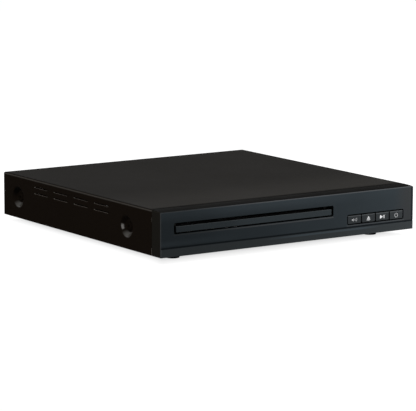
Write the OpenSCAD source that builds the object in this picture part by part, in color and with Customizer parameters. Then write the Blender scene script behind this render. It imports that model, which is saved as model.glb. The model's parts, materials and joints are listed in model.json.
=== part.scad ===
// Compact DVD player with a motorised disc tray, built from its separate parts.
// Millimetres, +Z up, the front faces -Y. The origin is the bottom centre of the bounding box.
// Inside the modules y is counted from the front face and z from the surface it stands on.

/* [Case] */
// Width of the case
case_w = 225; // [222:1:260]
// Depth from the front face to the rear edge of the cover
case_d = 225; // [223:1:260]
// Height from the underside of the chassis to the top of the cover
case_h = 33; // [32.5:0.5:45]
// Thickness of the cover sheet
cover_t = 0.8; // [0.6:0.1:1.2]
// Outside bend radius along the two long top edges of the cover
cover_bend_r = 1.2; // [1:0.1:2.5]
// Thickness of the chassis base sheet
base_t = 0.8; // [0.6:0.1:1.2]
// Height of the folded side flanges of the base
flange_h = 5.5; // [3:0.5:6]
// Thickness of the rear panel sheet
rear_t = 0.8; // [0.6:0.1:1.2]
// How far the rear panel sits inside the rear edge of the cover
rear_inset = 0.6; // [0.2:0.1:2]
// Gap between sheet parts that slide over each other
sheet_gap = 0.25; // [0.1:0.05:0.5]

/* [Feet] */
// Height of the feet below the chassis
foot_h = 5; // [4:0.5:10]
// Radius of a foot
foot_r = 5; // [4:0.5:8]
// Distance of each foot from the side of the case
foot_side = 24; // [15:1:40]
// Distance of each foot from the front face or from the rear edge
foot_end = 22; // [18:1:30]
// Radius of the stud that holds a foot in the base
foot_stud_r = 1.8; // [1.2:0.1:2.5]

/* [Front bezel] */
// Depth of the bezel from the front face to the seam
bezel_d = 12; // [11:0.5:13]
// Wall thickness of the front of the bezel
bezel_t = 2.4; // [2:0.1:2.6]
// Wall thickness of the sides and bottom of the bezel
bezel_side_t = 2; // [1.5:0.1:2.4]
// Drop of the top edge of the front face below the cover
bezel_drop = 0.8; // [0.4:0.1:2]
// Radius of the upright front edges of the bezel
bezel_edge_r = 0.8; // [0.4:0.1:1.5]
// Seam between the bezel and the cover
seam_gap = 0.35; // [0.1:0.05:0.8]
// Height of the raised strip along the bottom of the face
strip_h = 6.1; // [3:0.1:8]
// How far that strip stands proud of the face
strip_proud = 0.4; // [0.2:0.1:1]
// Width of the groove above the strip
groove_w = 0.8; // [0.3:0.1:1]
// Depth of the groove above the strip
groove_d = 0.4; // [0.2:0.1:0.8]

/* [Disc slot and door] */
// Distance of the middle of the loader from the left side of the case
loader_side = 80.8; // [79:0.1:82.5]
// Width of the slot for the tray
slot_w = 139.4; // [138:0.1:139.8]
// Height of the slot for the tray
slot_h = 7.55; // [7.2:0.05:7.8]
// Height of the lower edge of the slot above the underside of the chassis
slot_z = 16.35; // [16:0.05:16.5]
// Corner radius of the slot
slot_r = 1; // [0.5:0.1:2]
// Width of the tray door
door_w = 136.4; // [133:0.1:137]
// Height of the tray door
door_h = 4.5; // [4.3:0.1:4.8]
// Thickness of the tray door
door_t = 3; // [2.5:0.1:3.4]
// Gap below the tray door
door_gap = 0.7; // [0.5:0.1:0.9]
// Corner radius of the door
door_r = 0.6; // [0.3:0.1:1]

/* [Disc tray] */
// Width of the tray
tray_w = 129; // [128:0.5:130]
// Length of the tray behind its door
tray_l = 153; // [152:1:155]
// Thickness of the tray, from its underside to its rim
tray_t = 4.4; // [4.3:0.1:4.6]
// Radius of the recess for a 12 cm disc
disc_r = 60.5; // [60.2:0.1:61]
// Depth of that recess below the rim
disc_depth = 2.2; // [1.8:0.1:2.4]
// Radius of the recess for an 8 cm disc
small_disc_r = 40.8; // [40.4:0.1:42]
// Depth of that recess below the first one
small_disc_depth = 1.2; // [0.8:0.1:1.4]
// Width of the slot that lets the deck through, open towards the rear
deck_slot_w = 54; // [52:1:58]
// Distance of the middle of the disc behind the front face
disc_y = 68.5; // [67:0.5:69]
// Travel of the tray
tray_travel = 130; // [120:1:132]
// Running gap around the tray
tray_gap = 0.3; // [0.2:0.05:0.4]

/* [Loader frame] */
// Thickness of the walls of the loader frame
frame_t = 2; // [1.5:0.1:2.2]
// Length of the loader frame
frame_l = 171; // [170:1:172]
// Thickness of the floor of the loader frame
frame_floor_t = 1.2; // [1:0.1:1.3]
// Gap between the base and the loader frame, bridged by standoffs
frame_lift = 1.5; // [1.2:0.1:1.6]
// Width of the window for the deck
window_w = 104; // [103:0.5:106]
// Thickness of the clamp bridge
bridge_t = 1.2; // [1:0.1:1.5]
// Width of the clamp bridge, front to back
bridge_l = 38; // [34:1:44]

/* [Drive] */
// Groove radius of the large pulley
pulley_r = 10.5; // [9:0.5:10.5]
// Groove radius of the motor pulley
motor_pulley_r = 3; // [2.5:0.1:3.2]
// Thickness of the drive belt
belt_t = 1; // [0.8:0.1:1.2]
// Radius of the posts that the gears turn on
post_r = 1.5; // [1.2:0.1:1.7]
// Radial running clearance of pins and shafts
run_gap = 0.06; // [0.03:0.01:0.09]
// Radius of the loading motor
motor_r = 10; // [8:0.5:10.5]
// Clearance between parts that pass each other
pass_gap = 0.4; // [0.3:0.05:0.5]

/* [Deck] */
// Distance of the deck pivot behind the front face
pivot_y = 160; // [159:0.5:161]
// Radius of the deck pivot pins
pivot_r = 2; // [1.6:0.1:2.2]
// Angle by which the deck is lowered
deck_drop = 3.6; // [2:0.1:3.8]
// Sideways stroke of the cam slider
cam_stroke = 14; // [12:0.5:16]
// Radius of the cam pin on the deck
cam_pin_r = 1.75; // [1.5:0.05:1.9]
// Thickness of the deck holder
holder_t = 2; // [1.6:0.1:2.2]
// Thickness of the traverse plate
plate_t = 1.2; // [1:0.1:1.4]
// Radius of the rubber bushes under the traverse plate
bush_r = 4.2; // [3.8:0.1:4.4]
// Radius of the spindle motor
spindle_r = 12; // [10:0.5:12.5]
// Radius of the turntable
turntable_r = 15; // [13:0.5:15.2]
// Radius of the guide rods of the pickup
rod_r = 1.5; // [1.2:0.1:1.6]
// Distance of each guide rod from the middle of the deck
rod_x = 27; // [26.5:0.1:27.2]
// Travel of the pickup
sled_travel = 34; // [30:1:34]
// Length of the pickup sled
sled_l = 26; // [22:1:26]
// Radius of the disc clamper
clamper_r = 14.5; // [13:0.5:15]

/* [Keys] */
// Distance from the middle of one key to the next
key_pitch = 13; // [12.5:0.05:13.2]
// Height of the key window
key_h = 7.2; // [6:0.1:8]
// Height of the middle of the keys above the underside
key_z = 12.05; // [11:0.05:13]
// Distance of the middle of the row of keys from the right side of the case
key_side = 35.3; // [34.3:0.1:37]
// Gap around each key
key_gap = 0.4; // [0.3:0.05:0.5]
// Corner radius of the key window
key_r = 1.2; // [0.6:0.1:1.6]
// Travel of a key
key_travel = 0.5; // [0.3:0.1:0.6]

/* [Side dimples and vents] */
// Radius of the rim of a screw dimple
dimple_r = 8.25; // [7:0.25:8.5]
// Radius of the floor of a screw dimple
dimple_floor_r = 4.4; // [4:0.1:5]
// Depth of a screw dimple
dimple_depth = 3.4; // [2.5:0.1:3.6]
// Height of the dimples above the underside
dimple_z = 16.2; // [14:0.1:18]
// Distance of the front dimple behind the front face
dimple_front_y = 46; // [36:0.5:50]
// Distance of the rear dimple in front of the rear edge
dimple_rear = 21.7; // [18:0.1:26]
// Number of vent groups on a side
vent_groups = 4; // [3:1:4]
// Length of a vent slot
vent_l = 19.6; // [16:0.1:22]
// Height of a vent slot
vent_h = 1; // [0.8:0.1:2]
// Distance from one vent group to the next
vent_pitch = 29.1; // [27:0.1:30]
// Distance of the first vent behind the front face
vent_y = 71; // [60:0.1:72]
// Height of the lower row of vents above the underside
vent_z = 22.15; // [21:0.05:23]
// Distance between the two rows of vents
vent_row = 4.7; // [4:0.05:5.5]

/* [Boards and sockets] */
// Thickness of the circuit boards
board_t = 1.6; // [1.2:0.1:1.6]
// Height of the boards above the base
board_lift = 4.2; // [4:0.1:5]
// Depth of the main board
main_d = 40; // [38:1:40]
// Width of the main board
main_w = 156.5; // [150:0.5:157]
// Width of the power board
psu_w = 50; // [48:1:50]
// Gap between the power board and the right side of the cover
psu_side = 5.9; // [5:0.1:7]
// Depth of the power board
psu_d = 96; // [92:1:110]
// Radius of the barrel of a phono jack
jack_r = 4.15; // [4.1:0.05:4.2]
// How much wider the collar of a jack is than its barrel
jack_collar = 0.3; // [0.2:0.05:0.4]
// How far the phono jacks stand out of the rear edge of the cover
jack_out = 8; // [7:0.5:9]
// Radius of the board and loader screws
screw_r = 1.25; // [1:0.05:1.5]
// Head radius of the screws
screw_head_r = 2.8; // [2.4:0.1:3.2]
// Gap around the shank of a screw
screw_gap = 0.1; // [0.05:0.05:0.3]

/* [Hidden] */
$fn = 64;
under = foot_h;
base_top = under + base_t;
cover_top = under + case_h;
cover_in = cover_top - cover_t;
half_w = case_w / 2;
loader_x = loader_side - half_w;
key_x = half_w - key_side;
in_half = half_w - cover_t;
front_shift = (strip_proud - case_d - jack_out) / 2;
cover_y = bezel_d + seam_gap;
rear_in = case_d - rear_inset - rear_t;
inner_bend_r = max(cover_bend_r - cover_t, 0.2);

slot_low = under + slot_z;
door_low = slot_low + door_gap;
rack_low = slot_low + tray_gap;
tray_low = rack_low + 0.25;
tray_top = tray_low + tray_t;
tray_half = tray_w / 2;
disc_floor = tray_top - disc_depth;
small_floor = disc_floor - small_disc_depth;
tray_rear = door_t + tray_l;

frame_y = 5;
frame_z = base_top + frame_lift;
frame_floor = frame_z + frame_floor_t;
frame_in = tray_half + tray_gap + 0.2;
frame_out = frame_in + frame_t;
frame_rear = frame_y + frame_l;
runner_top = tray_low - tray_gap;
runner_t = 1.5;
runner_w = 3.5;
hook_low = tray_top + tray_gap;
hook_t = 1.3;
frame_top = hook_low + hook_t + 1;
window_y = 36;
window_rear = frame_rear - 6;
ear_r = 4.5;
ear_x = frame_out + 3.5;
ear_t = 2.5;
ear_y = [cover_y + ear_r + 0.3, frame_rear - 8];

rack_m = 1;
rack_teeth = 14;
wheel_m = 0.8;
wheel_teeth = 30;
pinion_teeth = 10;
rack_pitch = PI * rack_m;
rack_r = rack_m * rack_teeth / 2;
rack_back = 3;
rack_x = -tray_half + 7;
channel_top = disc_floor - 0.8;
gear_x = rack_x + rack_r;
gear_y = 20;
wheel_r = wheel_m * wheel_teeth / 2;
pinion_r = wheel_m * pinion_teeth / 2;
pulley_x = gear_x + wheel_r + pinion_r;
belt_span = 24;
motor_x = pulley_x + belt_span;
gear_low = frame_floor + pass_gap;
wheel_low = frame_floor + 3.5;
wheel_t = 3;
pulley_t = 2.4;
pinion_top = channel_top - pass_gap;
motor_plate_z = gear_low + pulley_t + pass_gap;
motor_plate_t = 1;
motor_low = motor_plate_z + motor_plate_t;
motor_top = tray_low - pass_gap - 0.2;
shaft_r = 0.75;
belt_h = 1.4;
belt_z = gear_low + pulley_t / 2;

holder_z = under + 9.4;
holder_half = 49.5;
holder_in = 45;
holder_y = 45;
holder_rear = pivot_y + 4;
plate_z = under + 12.6;
plate_top = plate_z + plate_t;
plate_half = 45;
plate_y = 47;
plate_rear = pivot_y - 1;
bush_x = 40;
bush_y = [plate_y + 4, pivot_y - 6];
bush_groove_r = bush_r - 1.2;
deck_screw_r = 1;
pivot_z = under + 10.4;
pivot_bracket_x = window_w / 2 + 0.5;
pivot_bracket_t = 4;
spindle_low = under + 7.8;
spindle_shaft_r = 1;
table_low = plate_top + 0.8;
table_seat = tray_top - 0.8;
pad_t = 0.2;
hub_r = 7.4;
hub_top = table_seat + 1.6;
sled_y = disc_y + turntable_r + 0.8;
sled_z = under + 7.6;
sled_top = tray_top - 4;
sled_half = 20;
rod_z = under + 10.6;
rod_front = sled_y - 4;
rod_rear = sled_y + sled_l + sled_travel + 3;
sleeve_r = rod_r + 1.7;
lens_y = sled_y + 8.2;
lens_top = table_seat - 1.3;
cam_z = under + 12.4;
cam_arm = pivot_y - 37.8;
cam_fall = cam_arm * sin(deck_drop);
cam_y = window_y + pass_gap;
cam_t = 2.8;
cam_low = base_top + 0.5;
cam_top = under + 15.2;

feed_m = 0.5;
feed_teeth = 16;
feed_wheel_teeth = 22;
feed_pinion_teeth = 10;
feed_rack_x = -rod_x - 6;
feed_r = feed_m * feed_teeth / 2;
feed_wheel_r = feed_m * feed_wheel_teeth / 2;
feed_pinion_r = feed_m * feed_pinion_teeth / 2;
feed_x = feed_rack_x - feed_r;
feed_y = sled_y + 14;
feed_mesh = 115;
feed_motor_at = [feed_x, feed_y] + polar(feed_wheel_r + feed_pinion_r, feed_mesh);
feed_motor_r = 3.2;
feed_rack_low = under + 9;
feed_rack_t = 2.4;
feed_wheel_low = under + 7.6;
feed_wheel_t = 1;
feed_front_teeth = ceil((sled_travel + 2) / (PI * feed_m));
feed_post_r = 1;

bridge_z = frame_top;
bridge_half = frame_out;
clamp_hole_r = 11;
clamp_neck_r = clamp_hole_r - 0.8;
clamp_low = table_seat + 1.4;
clamp_disc_top = bridge_z - pass_gap;
clamp_flange_low = bridge_z + bridge_t + 0.3;
clamp_flange_t = 1.4;

key_count = 4;
key_w = key_pitch - 2 * key_gap;
key_face = 0.15;
key_flange_y = bezel_t + 0.2;
key_flange_t = 0.8;
key_mid = under + key_z;
stem_end = key_flange_y + key_flange_t + 1.2;
plunger_r = 1.5;
plunger_l = 2;
switch_y = stem_end + 0.8;
switch_half = 3;
key_board_y = switch_y + 3.2;
key_board_x = [key_x - 34, key_x + 30.5];
key_board_z = [key_mid - 6, key_mid + 8];
key_boss_x = [key_board_x[0] + 3, key_board_x[1] - 2.5];
key_boss_z = key_mid + 5.6;

tab_w = 12;
tab_t = 1;
tab_x = half_w - dimple_depth - cover_t;
cover_screw_r = 1.5;
dimple_ys = [dimple_front_y, case_d - dimple_rear];

board_z = base_top + board_lift;
board_top = board_z + board_t;
board_edge = rear_in - 0.6;
main_y = board_edge - main_d;
main_x = loader_x - 73;
psu_x = in_half - psu_side - psu_w;
psu_y = board_edge - psu_d;
standoff_r = 3;
jack_x = [loader_x - 58, loader_x - 44];
coax_x = loader_x - 28;
jack_z = board_top + 7;
jack_collar_out = 0.3;
scart_x = loader_x + 10;
scart_w = 47;
scart_h = 14;
hdmi_x = loader_x + 52;
hdmi_w = 15;
hdmi_h = 6;
inlet_x = psu_x + psu_w - 16;
inlet_w = 22;
inlet_h = 13;
inlet_pin_gap = 8.6;
inlet_r = 4;
inlet_z = board_top + inlet_h / 2;
ribbon_t = 0.3;
ribbon_z = base_top + ribbon_t;
pickup_ribbon_z = under + 11.5;
rear_screw_xs = [scart_x - scart_w / 2 - 5, scart_x + scart_w / 2 + 5];
rear_screw_z = board_top + 2 + scart_h / 2;
bridge_boss_y = [disc_y - bridge_l / 2 + 5, disc_y + bridge_l / 2 - 5];
bridge_boss_x = frame_out + 2;

chip_x = loader_x - 4;
phono_bore_r = 1.6;
key_ribbon_x = [main_x + main_w - 6.5, main_x + main_w - 0.5];
harness_x = [main_x + main_w - 5, psu_x + 6];
harness_y = [board_edge - 28, board_edge - 20];

main_holes = [for (x = [8, main_w - 12], y = [5, main_d - 14]) [main_x + x, main_y + y]];
psu_holes = [for (x = [5, psu_w - 5], y = [5, psu_d - 16]) [psu_x + x, psu_y + y]];

function arc(cx, cy, r, a0, a1, n) =
    [for (i = [0:n]) let (a = a0 + (a1 - a0) * i / n) [cx + r * cos(a), cy + r * sin(a)]];
function involute(a) = tan(a) * 180 / PI - a;
function polar(r, a) = [r * cos(a), r * sin(a)];

// The front face is moved to its place behind the origin.
module place() {
    translate([0, front_shift, 0]) children();
}

module at_loader() {
    translate([loader_x, 0, 0]) children();
}

module along_x(w) {
    rotate([90, 0, 90]) linear_extrude(w, center = true) children();
}

module along_y(from, to) {
    translate([0, to, 0]) rotate([90, 0, 0]) linear_extrude(to - from) children();
}

module block(x, y, z) {
    translate([x[0], y[0], z[0]]) cube([x[1] - x[0], y[1] - y[0], z[1] - z[0]]);
}

module post(x, y, z, r) {
    translate([x, y, z[0]]) cylinder(h = z[1] - z[0], r = r);
}

module rounded(w, h, r) {
    square([w - 2 * r, h], center = true);
    square([w, h - 2 * r], center = true);
    for (x = [-1, 1], y = [-1, 1]) translate([x * (w / 2 - r), y * (h / 2 - r)]) circle(r);
}

// A flat gear with involute flanks, thinned by a little slack.
module gear_outline(teeth, m, slack) {
    pressure = 20;
    pitch = m * teeth / 2;
    tip = pitch + 0.85 * m;
    root = pitch - 1.15 * m;
    base = pitch * cos(pressure);
    low = max(base + 0.001, root + 0.001);
    half = 90 / teeth - slack / 2 / pitch * 180 / PI + involute(pressure);
    steps = 3;
    flank = [for (i = [0:steps]) let (r = low + (tip - low) * i / steps)
        [r, half - involute(acos(base / r))]];
    polygon([for (t = [0:teeth - 1]) let (a = 360 / teeth * t) each concat(
        [polar(root, a - flank[0][1])],
        [for (f = flank) polar(f[0], a - f[1])],
        [for (i = [steps:-1:0]) polar(flank[i][0], a + flank[i][1])],
        [polar(root, a + flank[0][1])])]);
}

// A straight rack along +Y with its teeth towards +X and its pitch line on x = 0.
module rack_outline(teeth, m, slack, back) {
    pitch = PI * m;
    half = (pitch / 2 - slack) / 2;
    lean = m * tan(20);
    polygon(concat([[-back, -pitch / 2]],
        [for (t = [0:teeth - 1]) let (y = t * pitch) each [
            [-1.15 * m, y - half - 1.15 * lean], [0.85 * m, y - half + 0.85 * lean],
            [0.85 * m, y + half - 0.85 * lean], [-1.15 * m, y + half + 1.15 * lean]]],
        [[-back, (teeth - 0.5) * pitch]]));
}

// A pan-head screw along -Z with the seat of its head on z = 0.
module screw(shank, length, head) {
    difference() {
        union() {
            translate([0, 0, -length]) cylinder(h = length + 0.1, r = shank);
            cylinder(h = head * 0.28, r = head);
            translate([0, 0, head * 0.28]) cylinder(h = head * 0.2, r1 = head, r2 = head * 0.7);
        }
        for (a = [0, 90]) rotate([0, 0, a])
            translate([0, 0, head * 0.5]) cube([head * 1.1, head * 0.26, head * 0.6], center = true);
    }
}

// A flat strip that follows [y, z] points, all on straight level or upright runs.
module strip_path(points, x, t) {
    for (i = [0:len(points) - 2])
        block(x,
            [min(points[i][0], points[i + 1][0]) - t / 2, max(points[i][0], points[i + 1][0]) + t / 2],
            [min(points[i][1], points[i + 1][1]) - t / 2, max(points[i][1], points[i + 1][1]) + t / 2]);
}

module at_side(side, y, depth = 0) {
    translate([side * (half_w - depth), y, under + dimple_z]) rotate([0, side * 90, 0]) children();
}

module top_cover() {
    color([0.18, 0.18, 0.17]) place() difference() {
        union() {
            along_y(cover_y, case_d) polygon(concat(
                [[-half_w, under]],
                arc(-half_w + cover_bend_r, cover_top - cover_bend_r, cover_bend_r, 180, 90, 6),
                arc(half_w - cover_bend_r, cover_top - cover_bend_r, cover_bend_r, 90, 0, 6),
                [[half_w, under], [in_half, under]],
                arc(in_half - inner_bend_r, cover_in - inner_bend_r, inner_bend_r, 0, 90, 6),
                arc(inner_bend_r - in_half, cover_in - inner_bend_r, inner_bend_r, 90, 180, 6),
                [[-in_half, under]]));
            for (side = [-1, 1], y = dimple_ys) at_side(side, y, dimple_depth + cover_t)
                cylinder(h = dimple_depth + cover_t / 2, r1 = dimple_floor_r + cover_t,
                    r2 = dimple_r + cover_t);
        }
        for (side = [-1, 1], y = dimple_ys) {
            at_side(side, y, dimple_depth) cylinder(h = dimple_depth, r1 = dimple_floor_r, r2 = dimple_r);
            at_side(side, y, -1) cylinder(h = 4, r = dimple_r);
            at_side(side, y, 2 * dimple_depth) cylinder(h = 3 * dimple_depth, r = cover_screw_r + screw_gap);
        }
        for (side = [-1, 1], g = [0:vent_groups - 1], row = [0, 1])
            translate([side * half_w, vent_y + g * vent_pitch + vent_l / 2,
                under + vent_z + row * vent_row + vent_h / 2])
                along_x(4 * cover_t) rounded(vent_l, vent_h, vent_h / 2 - 0.05);
    }
}

module chassis_base() {
    flange_x = in_half - sheet_gap;
    color([0.62, 0.63, 0.64]) place() difference() {
        union() {
            block([-flange_x, flange_x], [cover_y, case_d - rear_inset], [under, base_top]);
            for (side = [-1, 1]) {
                translate([side * (flange_x - base_t / 2), (cover_y + rear_in) / 2, under + flange_h / 2])
                    cube([base_t, rear_in - cover_y - 2 * sheet_gap, flange_h], center = true);
                for (y = dimple_ys) translate([side * (tab_x - tab_t / 2), y, (base_top + under + dimple_z + 6) / 2])
                    cube([tab_t, tab_w, dimple_z + 6 - base_t + 0.02], center = true);
            }
            for (p = concat(main_holes, psu_holes)) post(p[0], p[1], [base_top - 0.1, board_z], standoff_r);
            for (side = [-1, 1], y = ear_y)
                post(loader_x + side * ear_x, y, [base_top - 0.1, frame_z], ear_r - 1);
        }
        for (p = concat(main_holes, psu_holes))
            post(p[0], p[1], [base_top + 0.2, board_z + 1], screw_r + screw_gap);
        for (side = [-1, 1], y = ear_y)
            post(loader_x + side * ear_x, y, [under - 1, frame_z + 1], screw_r + screw_gap);
        for (side = [-1, 1], y = dimple_ys)
            at_side(side, y, 3 * dimple_depth) cylinder(h = 3 * dimple_depth, r = cover_screw_r + screw_gap);
        for (side = [-1, 1], y = [foot_end, case_d - foot_end])
            post(side * (half_w - foot_side), y, [under - 1, base_top + 1], foot_stud_r + screw_gap);
        for (row = [0:7]) block([psu_x + 6, psu_x + psu_w - 6],
            [psu_y - 60 + row * 6, psu_y - 58 + row * 6], [under - 1, base_top + 1]);
    }
}

module rear_panel() {
    color([0.2, 0.2, 0.2]) place() difference() {
        union() {
            block([sheet_gap - in_half, in_half - sheet_gap], [rear_in, rear_in + rear_t],
                [base_top, cover_in - sheet_gap]);
            for (x = [-half_w + 30, inlet_x - 58])
                block([x, x + 24], [rear_in - 8, rear_in + 0.1], [base_top, base_top + rear_t]);
        }
        for (x = concat(jack_x, [coax_x])) translate([x, rear_in - 1, jack_z]) rotate([-90, 0, 0])
            cylinder(h = 4, r = jack_r + jack_collar + sheet_gap);
        block([scart_x - scart_w / 2 - sheet_gap, scart_x + scart_w / 2 + sheet_gap], [rear_in - 1, rear_in + 2],
            [board_top + 2 - sheet_gap, board_top + 2 + scart_h + sheet_gap]);
        block([hdmi_x - hdmi_w / 2 - sheet_gap, hdmi_x + hdmi_w / 2 + sheet_gap], [rear_in - 1, rear_in + 2],
            [board_top - sheet_gap, board_top + hdmi_h + sheet_gap]);
        block([inlet_x - inlet_w / 2 - sheet_gap, inlet_x + inlet_w / 2 + sheet_gap], [rear_in - 1, rear_in + 2],
            [board_top - sheet_gap, board_top + inlet_h + sheet_gap]);
        for (x = rear_screw_xs) translate([x, rear_in - 1, rear_screw_z]) rotate([-90, 0, 0])
            cylinder(h = 4, r = screw_r + screw_gap);
        for (i = [0:9]) block([psu_x - 18 + i * 4, psu_x - 16 + i * 4], [rear_in - 1, rear_in + 2],
            [cover_in - 10, cover_in - 3]);
    }
}

module front_bezel() {
    top_r = (pow(bezel_d, 2) + pow(bezel_drop, 2)) / 2 / bezel_drop;
    face_top = cover_top - bezel_drop;
    outline = concat(
        arc(-strip_proud + 0.4, under + 0.4, 0.4, 270, 180, 4),
        [[-strip_proud, under + strip_h - 0.2], [0.2 - strip_proud, under + strip_h]],
        [[groove_d, under + strip_h], [groove_d, under + strip_h + groove_w]],
        [[0, under + strip_h + groove_w + 0.15]],
        arc(bezel_edge_r, face_top - bezel_edge_r * 0.9, bezel_edge_r, 180, 100, 5),
        [for (i = [1:8]) let (y = bezel_edge_r + (bezel_d - bezel_edge_r) * i / 8)
            [y, cover_top - top_r + sqrt(pow(top_r, 2) - pow(bezel_d - y, 2))]],
        [[bezel_d, under]]);
    pocket_top = cover_top - bezel_drop - 1.8;
    color([0.16, 0.18, 0.19]) place() difference() {
        intersection() {
            along_x(case_w) polygon(outline);
            translate([0, 0, under - 1]) linear_extrude(case_h + 2) polygon(concat(
                [[half_w, bezel_d + 1], [-half_w, bezel_d + 1]],
                arc(-half_w + bezel_edge_r, bezel_edge_r - strip_proud, bezel_edge_r, 180, 270, 5),
                arc(half_w - bezel_edge_r, bezel_edge_r - strip_proud, bezel_edge_r, 270, 360, 5)));
            along_y(-strip_proud - 1, bezel_d + 1) polygon(concat(
                [[-half_w, under - 1]],
                arc(-half_w + cover_bend_r, cover_top - cover_bend_r, cover_bend_r, 180, 90, 6),
                [[-half_w + cover_bend_r, cover_top + 1], [half_w - cover_bend_r, cover_top + 1]],
                arc(half_w - cover_bend_r, cover_top - cover_bend_r, cover_bend_r, 90, 0, 6),
                [[half_w, under - 1]]));
        }
        difference() {
            block([bezel_side_t - half_w, half_w - bezel_side_t], [bezel_t, bezel_d + 1],
                [under + bezel_side_t, pocket_top]);
            for (x = key_boss_x) translate([x, bezel_t - 0.1, key_boss_z]) rotate([-90, 0, 0])
                cylinder(h = key_board_y - bezel_t + 0.1, r = 2.4);
        }
        for (x = key_boss_x) translate([x, bezel_t + 0.6, key_boss_z]) rotate([-90, 0, 0])
            cylinder(h = bezel_d, r = screw_r + screw_gap);
        translate([loader_x, 0, slot_low + slot_h / 2]) along_y(-2, bezel_t + 1)
            rounded(slot_w, slot_h, slot_r);
        translate([key_x, 0, key_mid]) along_y(-2, bezel_t + 1)
            rounded(key_pitch * key_count, key_h, key_r);
    }
}

module feet() {
    color([0.05, 0.05, 0.05]) place() for (side = [-1, 1], y = [foot_end, case_d - foot_end])
        translate([side * (half_w - foot_side), y, 0]) {
            rotate_extrude() polygon(concat([[0, 0]], arc(foot_r - 0.9, 0.6, 0.6, -90, 0, 4),
                [[foot_r, under], [0, under]]));
            cylinder(h = base_top + 1.2, r = foot_stud_r);
            translate([0, 0, base_top + 0.1]) cylinder(h = 1.4, r1 = foot_stud_r + 0.7, r2 = foot_stud_r - 0.5);
        }
}

module case_screws() {
    color([0.08, 0.08, 0.08]) place() {
        for (side = [-1, 1], y = dimple_ys) at_side(side, y, dimple_depth) screw(cover_screw_r, 5, 3.3);
        for (x = rear_screw_xs) translate([x, rear_in + rear_t, rear_screw_z]) rotate([-90, 0, 0])
            screw(screw_r, 6, screw_head_r * 0.85);
    }
}

module disc_tray() {
    rack_len = floor((tray_l - 8) / rack_pitch);
    first = gear_y - rack_pitch * floor((gear_y - door_t - 5) / rack_pitch);
    color([0.13, 0.13, 0.14]) place() at_loader() {
        difference() {
            block([-tray_half, tray_half], [door_t, tray_rear], [tray_low, tray_top]);
            post(0, disc_y, [disc_floor, tray_top + 1], disc_r);
            post(0, disc_y, [small_floor, tray_top + 1], small_disc_r);
            for (x = [-1, 1]) post(x * (disc_r * 0.68), disc_y - disc_r * 0.74, [disc_floor, tray_top + 1], 11);
            post(0, disc_y, [tray_low - 1, tray_top + 1], deck_slot_w / 2);
            block([-deck_slot_w / 2, deck_slot_w / 2], [disc_y, tray_rear + 1], [tray_low - 1, tray_top + 1]);
            for (x = [-1, 1]) block([x * 50 - 7, x * 50 + 7], [tray_rear - 14, tray_rear - 4],
                [tray_top - 1.5, tray_top + 1]);
            block([rack_x - rack_back / 2, gear_x + rack_r + rack_m + pass_gap],
                [first - rack_pitch / 2, tray_rear + 1], [tray_low - 1, channel_top]);
        }
        translate([rack_x, first, rack_low]) linear_extrude(channel_top + 0.1 - rack_low)
            rack_outline(rack_len, rack_m, 0.25, rack_back);
    }
}

module tray_door() {
    color([0.15, 0.17, 0.18]) place() at_loader() difference() {
        translate([0, 0, door_low + door_h / 2]) along_y(0, door_t) rounded(door_w, door_h, door_r);
        for (x = [-1, 1]) block([x * 40 - 6, x * 40 + 6], [door_t - 0.8, door_t + 1],
            [door_low + 1.2, door_low + door_h - 1.2]);
    }
}

module loader_frame() {
    color([0.2, 0.2, 0.21]) place() at_loader() difference() {
        union() {
            block([-frame_out, frame_out], [frame_y, frame_rear], [frame_z, frame_floor]);
            block([-frame_out, frame_out], [frame_y, frame_y + frame_t], [frame_z, tray_low - 2]);
            for (side = [-1, 1]) {
                translate([side * (frame_in + frame_t / 2), (frame_y + frame_rear) / 2, (frame_z + frame_top) / 2])
                    cube([frame_t, frame_l, frame_top - frame_z], center = true);
                translate([side * (frame_in - runner_w / 2 + 0.1), (frame_y + frame_rear) / 2, runner_top - runner_t / 2])
                    cube([runner_w + 0.2, frame_l, runner_t], center = true);
                for (y = [18, disc_y + 22, frame_rear - 16])
                    translate([side * (frame_in - 1.2), y, hook_low + hook_t / 2])
                        cube([2.6, 12, hook_t], center = true);
                for (y = ear_y) post(side * ear_x, y, [frame_z, frame_z + ear_t], ear_r);
                for (y = bridge_boss_y) post(side * bridge_boss_x, y, [frame_z, frame_top], 3);
                translate([side * (pivot_bracket_x + pivot_bracket_t / 2), pivot_y, (frame_floor + pivot_z + 3) / 2 - 0.1])
                    cube([pivot_bracket_t, 9, pivot_z + 3 - frame_floor + 0.2], center = true);
            }
            post(gear_x, gear_y, [frame_floor - 0.1, pinion_top - 0.3], post_r);
            post(pulley_x, gear_y, [frame_floor - 0.1, wheel_low + wheel_t + 1], post_r);
            block([motor_x - motor_r, motor_x + motor_r + 2], [gear_y - 11, gear_y + 11],
                [motor_plate_z, motor_low]);
            block([motor_x + motor_r - 1, motor_x + motor_r + 2], [gear_y - 11, gear_y + 11],
                [frame_floor - 0.1, motor_low]);
            for (y = [gear_y - 11, gear_y + 9]) block([motor_x, motor_x + motor_r], [y, y + 2],
                [frame_floor - 0.1, motor_low]);
            block([-12, 12], [window_rear + 0.5, frame_rear - 0.5], [frame_floor - 0.1, pickup_ribbon_z - ribbon_t / 2]);
        }
        block([-window_w / 2, window_w / 2], [window_y, window_rear], [frame_z - 1, frame_floor + 0.01]);
        translate([0, pivot_y, pivot_z]) rotate([0, 90, 0])
            cylinder(h = 2 * (pivot_bracket_x + pivot_bracket_t + 1), r = pivot_r + run_gap, center = true);
        post(motor_x, gear_y, [frame_floor + 0.5, motor_low + 1], 2.6);
        for (side = [-1, 1]) {
            for (y = ear_y) post(side * ear_x, y, [frame_z - 1, frame_z + ear_t + 1], screw_r + screw_gap);
            for (y = bridge_boss_y) post(side * bridge_boss_x, y, [frame_top - 7, frame_top + 1], screw_r + screw_gap);
        }
    }
}

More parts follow.
